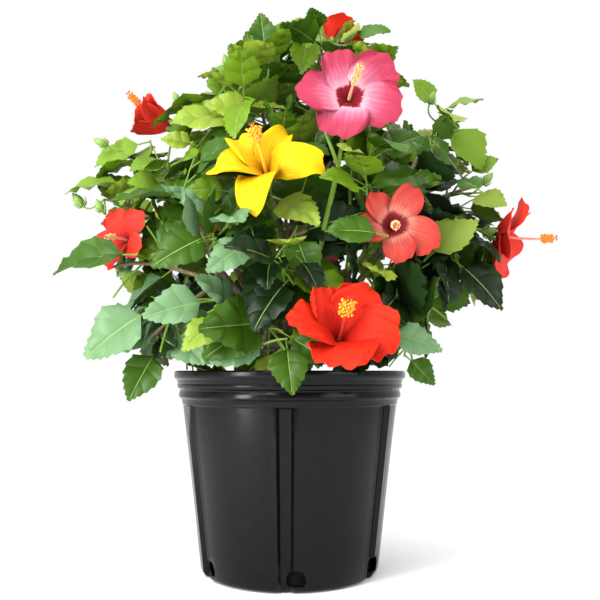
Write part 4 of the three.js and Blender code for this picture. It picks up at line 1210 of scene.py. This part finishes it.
# One leaf on a flat grid: shares along it, sides across it, and how far each point stands off the blade.
# Rows lean forward from the midrib as the side veins do, and the blade puffs up between the veins. The
# underside is flat, so that it stays below the puffs. Kinds of faces: 0 above, 1 below, 2 the midrib.
def leafPlan():
    rows, middle = leafBlade["rows"], leafBlade["middle"]
    points, index = [(0, 0, 0, 0, 1), (1, 0, 0, 0, 1)], {}

    def add(key, *point):
        index[key] = len(points)
        points.append(point)

    def lean(k, c):
        return k / rows + leafBlade["lean"] * math.sin(math.pi * k / rows) * abs(c)

    for k in range(1, rows):
        puff = leafBlade["quilt"] * (k % 2)
        rib = leafBlade["rib"] * (1 - 0.5 * k / rows) / (0.38 * float(leafHalf(k / rows)))
        add(("low", k, 0), k / rows, 0, -0.004 - 0.012 * (k % 2), 0, 0)
        for c in (-1, 1):
            add(("edge", k, c), lean(k, c), c, 0, 0, 1)
            add(("top", k, c), lean(k, middle), middle * c, puff, 0, 1)
            add(("rib", k, c), k / rows, rib * c, 0, 0, 1)
    for k in range(rows):
        for c in (-1, 1):
            ahead = mixed(lean(k, 1), lean(k + 1, 1), 0.8)
            add(("tooth", k, c), ahead, c, 0, leafBlade["tooth"] * (1 if ahead > 0.16 else 0.2), 1)
    faces, kinds = [], []

    def at(layer, k, c):
        return k // rows if k in (0, rows) else index[layer, k, c]

    def cell(corners, kind, mirrored):
        ring = [c for i, c in enumerate(corners) if c != corners[i - 1]]
        if len(ring) > 2:
            faces.append((ring[0], *reversed(ring[1:])) if mirrored else tuple(ring))
            kinds.append(kind)

    for k in range(rows):
        n = k + 1
        cell([at("rib", k, -1), at("rib", k, 1), at("rib", n, 1), at("rib", n, -1)], 2, False)
        for c in (-1, 1):
            barb = index["tooth", k, c]
            cell([at("rib", k, c), at("top", k, c), at("top", n, c), at("rib", n, c)], 0, c < 0)
            upper, lower = (at("top", k, c), at("top", n, c)), (at("low", k, 0), at("low", n, 0))
            for kind, (near, far) in enumerate((upper, lower)):
                cell([near, at("edge", k, c), barb, far], kind, (c < 0) == (kind == 0))
                cell([far, barb, at("edge", n, c)], kind, (c < 0) == (kind == 0))
    names = ("share", "side", "lift", "tooth", "top")
    return dict(zip(names, np.array(points, dtype=float).T)), faces, kinds


leafGrid, leafFaces, leafKinds = leafPlan()


# The pairs of a leaf's points whose edge is sharp: its rim, its midrib and its side veins.
def leafCreases():
    count = len(leafGrid["share"])
    creases = np.zeros((count, count), dtype=bool)
    kindsAt = {}
    for face, kind in zip(leafFaces, leafKinds):
        for a, b in zip(face, face[1:] + face[:1]):
            kindsAt.setdefault(frozenset((a, b)), set()).add(kind)
    for pair, kinds in kindsAt.items():
        a, b = pair
        flat = leafGrid["lift"][[a, b]].max() == 0 and leafGrid["tooth"][[a, b]].max() == 0
        sameRow = abs(leafGrid["side"][a] - leafGrid["side"][b]) > 0.3
        if len(kinds) > 1 or (kinds == {0} and flat and sameRow):
            creases[a, b] = creases[b, a] = True
    return creases


# A leaf bends down evenly from its root. Its stalk is the first part of the bend.
def bladePoints(leaf, share, side, lift=0.0, tooth=0.0):
    base, along, face = (np.array(leaf[part]) for part in ("base", "along", "face"))
    across = np.cross(along, face)
    length, stalk, droop = leaf["length"], leaf["stalk"], leaf["droop"]
    whole, fold = stalk + length, leafSize["fold"] * degree
    angle = droop * (stalk + share * length) / whole
    width = 0.5 * leafSize["widthShare"] * length * leafHalf(share) * side + tooth * length * np.sign(side)
    rise = np.abs(width) * math.sin(fold) + lift
    out = np.sin(angle) * whole / droop + rise * np.sin(angle)
    fall = (1 - np.cos(angle)) * whole / droop
    points = base + np.outer(out, along) + np.outer(rise * np.cos(angle) - fall, face)
    return points + np.outer(width * math.cos(fold), across)


outlineShare = np.array([0.28, 0.66, 1, 0.66, 0.28])
outlineSide = np.array([-1, -1, 0, 1, 1])


def leafOutline(leaf):
    return bladePoints(leaf, outlineShare, outlineSide)


# The finished blade, with the curl and the waves that its own numbers give it.
# A leaf that leans back towards the trunk is turned over, so that its upper face looks outwards.
def leafPoints(leaf, random):
    side, share = leafGrid["side"], leafGrid["share"]
    curl, waves, phase = leafBlade["curl"] * (random() - 0.9), 2 + 2 * random(), 6.28 * random()
    wave = leafBlade["wave"] * side**2 * np.sin(waves * np.pi * share + phase + 1.5 * (side > 0))
    sag = curl * side**2 * leafHalf(share)
    lift = leafGrid["lift"] * leaf["length"] - leafBlade["thickness"] * (1 - leafGrid["top"])
    lift = lift * (-1 if leaf["turnedOver"] else 1) + (wave + sag) * leaf["length"]
    return bladePoints(leaf, share, side, lift, leafGrid["tooth"])


def addPetiole(heap, leaf):
    angles = [leaf["droop"] * leaf["stalk"] * i / 3 / (leaf["stalk"] + leaf["length"]) for i in range(4)]
    turn = (leaf["stalk"] + leaf["length"]) / leaf["droop"]
    centres = []
    for angle in angles:
        out, fall = math.sin(angle) * turn, (1 - math.cos(angle)) * turn
        centres.append(leaf["base"] + leaf["along"] * out - leaf["face"] * (fall + 0.4))
    addTube(heap, centres, leafBlade["petiole"], 5, 0)


def shootAim(place):
    azimuth, _, height = place
    lowest, highest = crown["aims"]
    return directionAt(azimuth, min(highest, max(lowest, (height - crown["level"]) * crown["steepness"])))


# The leaf at a share of a twig, as one of several tries that turn round the twig.
def leafAt(twig, share, order, seeds, attempt):
    random, habit = numberStream(*seeds), leafHabit

    def drawn(name):
        return habit[name][0] + habit[name][1] * random()

    base = onLimb(twig["curve"], twig["steps"], share)
    tangent = curveTangent(twig["curve"], share)
    away = (base - crown["heart"]).normalized()
    swing = (1 if attempt % 2 else -1) * math.ceil(attempt / 2) * habit["swing"]
    turn = (order * goldenAngle + twig["turn"] + swing + habit["scatter"] * (random() - 0.5)) * degree
    radial = turnedAbout(squareTo(tangent, away), tangent, turn)
    sideways, onwards = habit["atTip" if share > 0.97 else "onTwig"]
    along = (radial * sideways + tangent * onwards + away * drawn("outwards")).normalized()
    size = drawn("size") * (1 - habit["shrink"] * attempt) * habit["youth"][min(order, 2)]
    facing = up * drawn("upwards") + away
    face = turnedAbout(squareTo(along, facing), along, habit["tilt"] * degree * (random() - 0.5))
    return {
        "base": base, "along": along, "face": face, "stalk": leafSize["petiole"] * drawn("stalk"),
        "droop": drawn("droop") * max(habit["leastDroop"], face.z) * degree,
        "length": leafSize["length"] * size,
    }


def crownReach(point):
    levels = crown["reach"]
    if not levels[0][0] < point[2] < levels[-1][0]:
        return 0
    above = next(i for i, level in enumerate(levels) if level[0] > point[2])
    low, high = levels[above - 1], levels[above]
    share = (point[2] - low[0]) / (high[0] - low[0])
    left, right = mixed(low[1], high[1], share), mixed(low[2], high[2], share)
    return (left + right) / 2 + (right - left) / 2 * point[0] / math.hypot(point[0], point[1])


def staysIn(mass, points):
    if np.linalg.norm(points - np.array(mass["middle"]), axis=1).max() > mass["radius"]:
        return False
    return all(math.hypot(point[0], point[1]) < crownReach(point) for point in points)


fine = {
    "twigs": 3, "leaves": 4, "tries": 7, "turns": 4, "scale": 0.82, "lean": 58,
    "from": 0.3, "span": 0.62, "scatter": 0.7, "reach": (0.26, 0.2),
}
greenRules = {"bluishBelow": 420, "hangingAbove": 450, "hang": 0.36, "rise": -0.12, "sunnyShare": 0.45}
stemHeap, twigHeap = Heap(), Heap()


# A mass's stem and side twigs, where its solid has them.
def growWood(name, bough, row, index):
    place, radius, greens = row[:3], row[3], row[4].split()
    middle, aim = pointAt(place), shootAim(place)
    end = middle + aim * radius * 0.2
    curve = solidRoute(name, knuckles[bough], end, aim, 3)
    twigs = [{"curve": curve, "steps": 3, "from": 0.4, "turn": 0, "count": masses["leavesOnStem"]}]
    centres = [knuckles[bough].copy(), *curvePoints(curve, 9)]
    radii = [2.9] + [mixed(2.9, 2.0, i / 9) for i in range(9)] + [1.2]
    addTube(stemHeap, centres, radii, 8, 0, index, 0.06)
    for i in range(masses["twigs"]):
        random = numberStream(index, i + 1, 0)
        share = masses["firstTwig"] + masses["nextTwig"] * i
        start, tangent = onLimb(curve, 3, share), curveTangent(curve, share)
        outward = squareTo(tangent, (start - crown["heart"]).normalized())
        turn = (i * 180 + 90 + 60 * (random() - 0.5)) * degree
        radial = turnedAbout(outward, tangent, turn)
        lean = masses["twigLean"] * degree
        way = tangent * math.cos(lean) + radial * math.sin(lean)
        least, more = masses["twigReach"]
        twigEnd = start + way * radius * (least + more * random())
        if onSolid(name, [twigEnd], 0.6):
            side = {"curve": (start, twigEnd), "steps": 1, "from": 0.3, "turn": 60}
            twigs.append(dict(side, count=masses["leavesOnTwig"]))
            addTwig(start, twigEnd, 1.7, 1.1, index)
    space = {"middle": middle, "radius": radius}
    return {"name": name, "index": index, "greens": greens, "heap": Heap(), "twigs": twigs, **space}


def addTwig(start, end, heel, tip, seed):
    bow = squareTo((end - start).normalized(), up) * (end - start).length * 0.03
    centres = [start, start.lerp(end, 0.33) + bow, start.lerp(end, 0.67) + bow, end]
    addTube(twigHeap, centres, [heel, mixed(heel, tip, 0.33), mixed(heel, tip, 0.67), tip], 6, 0, seed, 0.05)


def addLeaf(mass, leaf, green, seeds):
    outwards = Vector((leaf["base"].x, leaf["base"].y, 0)).normalized()
    hangs = leaf["base"].z > greenRules["hangingAbove"] and leaf["base"].y < 0
    hang = greenRules["hang" if hangs else "rise"]
    leaf["turnedOver"] = leaf["face"].dot(outwards) - hang * abs(leaf["face"].z) < 0
    if green == "bluish" and leaf["base"].z > greenRules["bluishBelow"]:
        green = "deep"
    points = leafPoints(leaf, numberStream(*seeds))
    order = list(leafGreens).index(green)
    tints = [len(leafGreens) * 2 if kind == 2 else order * 2 + kind for kind in leafKinds]
    faces = [face[::-1] for face in leafFaces] if leaf["turnedOver"] else leafFaces
    mass["heap"].add(points, faces, tints)
    addPetiole(twigHeap, leaf)
    stand(points, leafFaces)


# A spray's first leaf, at its tip, often gets the sunny green, a painted sunlit green.
def sprayGreen(mass, twigIndex, order, seeds):
    draw = numberStream(seeds[0], seeds[1] + 5, seeds[2])()
    greens = mass["greens"]
    if order == 0 and draw < greenRules["sunnyShare"] and greens[0] != "bluish":
        return "sunny"
    return greens[min(2, int(draw * 3.4)) if draw > 0.55 else twigIndex % 3]


def growLeading(row):
    massName, rootPlace, tipPlace, turned, green = row
    mass = foliage[massName]
    root, tip = pointAt(rootPlace), pointAt(tipPlace)
    chord = tip - root
    straight = chord.normalized()
    least, more = leading["droop"]
    droop = (least + more * (1 - turned)) * degree
    whole = chord.length * droop / (2 * math.sin(droop / 2))
    level = squareTo(straight, up.lerp(front, turned))
    across = straight.cross(level)
    along, face = turnedAbout(straight, across, droop / 2), turnedAbout(level, across, droop / 2)
    stalk = min(leafSize["petiole"], leading["stalkShare"] * whole)
    shape = {"along": along, "face": face, "stalk": stalk, "droop": droop, "length": whole - stalk}
    tree = solids[mass["name"]]["tree"]
    fits = []
    for share in leading["starts"]:
        start = onLimb(mass["twigs"][0]["curve"], 3, share)
        made = dict(shape, base=root - (root - start).normalized() * leading["heel"])
        fits.append((sum(tree.find_nearest(point)[3] for point in leafOutline(made).tolist()), start, made))
    miss, start, leaf = min(fits, key=lambda fit: fit[0])
    if miss > leading["miss"]:
        print("no solid for the leading leaf of", massName, rootPlace)
        return
    addTwig(start, root, 1.5, 1.0, 3)
    addLeaf(mass, leaf, green, (mass["index"], 40, len(views)))
    keepClearBefore(leafOutline(leaf), front, viewReach)


# The leaves that the mass's solid has.
def growLeaves(mass):
    for twigIndex, twig in enumerate(mass["twigs"]):
        for order in range(twig["count"]):
            share = twig["from"] + (1 - twig["from"]) * (twig["count"] - 1 - order) / (twig["count"] - 1)
            seeds = (mass["index"], twigIndex, order + 1)
            for attempt in range(masses["tries"]):
                leaf = leafAt(twig, min(share, 0.985), order, seeds, attempt)
                if onSolid(mass["name"], leafOutline(leaf).tolist()):
                    addLeaf(mass, leaf, sprayGreen(mass, twigIndex, order, seeds), seeds)
                    found["leaves"] += 1
                    break


# Finer twigs and their leaves carry each mass on inside the same space.
def growFine(mass, round):
    for twigIndex, twig in enumerate(list(mass["twigs"][:3])):
        seeds = (mass["index"] + 50, twigIndex * 7 + round, 0)
        random = numberStream(*seeds)
        share = fine["from"] + fine["span"] * (round + random() * fine["scatter"]) / fine["twigs"]
        start, tangent = onLimb(twig["curve"], twig["steps"], share), curveTangent(twig["curve"], share)
        outward = squareTo(tangent, (start - crown["heart"]).normalized())
        for attempt in range(fine["turns"]):
            turn = (round * goldenAngle + attempt * 95 + 180 * random()) * degree
            lean = fine["lean"] * degree
            way = tangent * math.cos(lean) + turnedAbout(outward, tangent, turn) * math.sin(lean)
            end = start + way * mass["radius"] * (fine["reach"][0] + fine["reach"][1] * random())
            corners = np.array([start.lerp(end, t) for t in (0.4, 0.7, 1)])
            if staysIn(mass, corners) and not hidesView(corners):
                break
        else:
            continue
        spray = {"curve": (start, end), "steps": 1, "turn": 40 * round}
        grown = 0
        for order in range(fine["leaves"]):
            leafShare = 0.985 if order == 0 else 0.95 - 0.75 * order / fine["leaves"]
            for attempt in range(fine["tries"]):
                leafSeeds = (seeds[0], seeds[1], order + 1)
                leaf = leafAt(spray, leafShare, order, leafSeeds, attempt)
                leaf["length"] *= fine["scale"]
                outline = leafOutline(leaf)
                if not staysIn(mass, outline) or hidesView(outline):
                    continue
                points = bladePoints(leaf, leafGrid["share"], leafGrid["side"] * 1.03)
                if isClear(points, leafFaces):
                    addLeaf(mass, leaf, sprayGreen(mass, twigIndex + round, order, leafSeeds), leafSeeds)
                    grown += 1
                    break
        found["fine"] += grown
        if grown:
            addTwig(start, end, 1.2, 0.8, seeds[1])


def growBud(massName, place, facingAngles, length):
    curve = foliage[massName]["twigs"][0]["curve"]
    base, facing = pointAt(place), directionAt(*facingAngles)
    starts = [curvePoint(curve, share) for share in bud["starts"]]
    start = min(starts, key=lambda point: (point - base).length)
    bend = base - facing * (base - start).length * 0.4
    route = (start, start.lerp(bend, 0.5), bend, base)
    addTube(stalks, curvePoints(route, 6), bud["stalk"], 6, 0)
    addBud(stalks, base, facing, length)


found = {"leaves": 0, "fine": 0}
foliage = {}
for bough, (_, shoots) in boughs.items():
    for massName, row in shoots.items():
        foliage[massName] = growWood(f"foliage_{massName}", bough, row, len(foliage) + 1)
for row in leadingLeaves:
    growLeading(row)
for mass in foliage.values():
    growLeaves(mass)
print("leaves of the source:", found["leaves"])
for row in buds:
    growBud(*row)
for round in range(fine["twigs"]):
    for mass in foliage.values():
        growFine(mass, round)
print("leaves on finer twigs:", found["fine"])


def makeFoliage():
    materials, creases = finish["leaves"] + [finish["midrib"]], leafCreases()
    for massName, mass in foliage.items():
        piece = mass["heap"].piece(f"leaves{camel(massName)}", materials, creases=creases)
        dress(piece, "foliage", mass["name"])
    dress(stemHeap.piece("woodyStems", [finish["bark"]]), "bark")
    dress(twigHeap.piece("greenTwigs", [finish["greenStem"]]), "foliage")
    dress(stalks.piece("bloomStalks", [finish["greenStem"], finish["sepal"]]), "foliage")
    dress(stamens.piece("stamens", [finish[name] for name in columnSkins]), "yellow_petals")


makeFoliage()
print("foliage made")
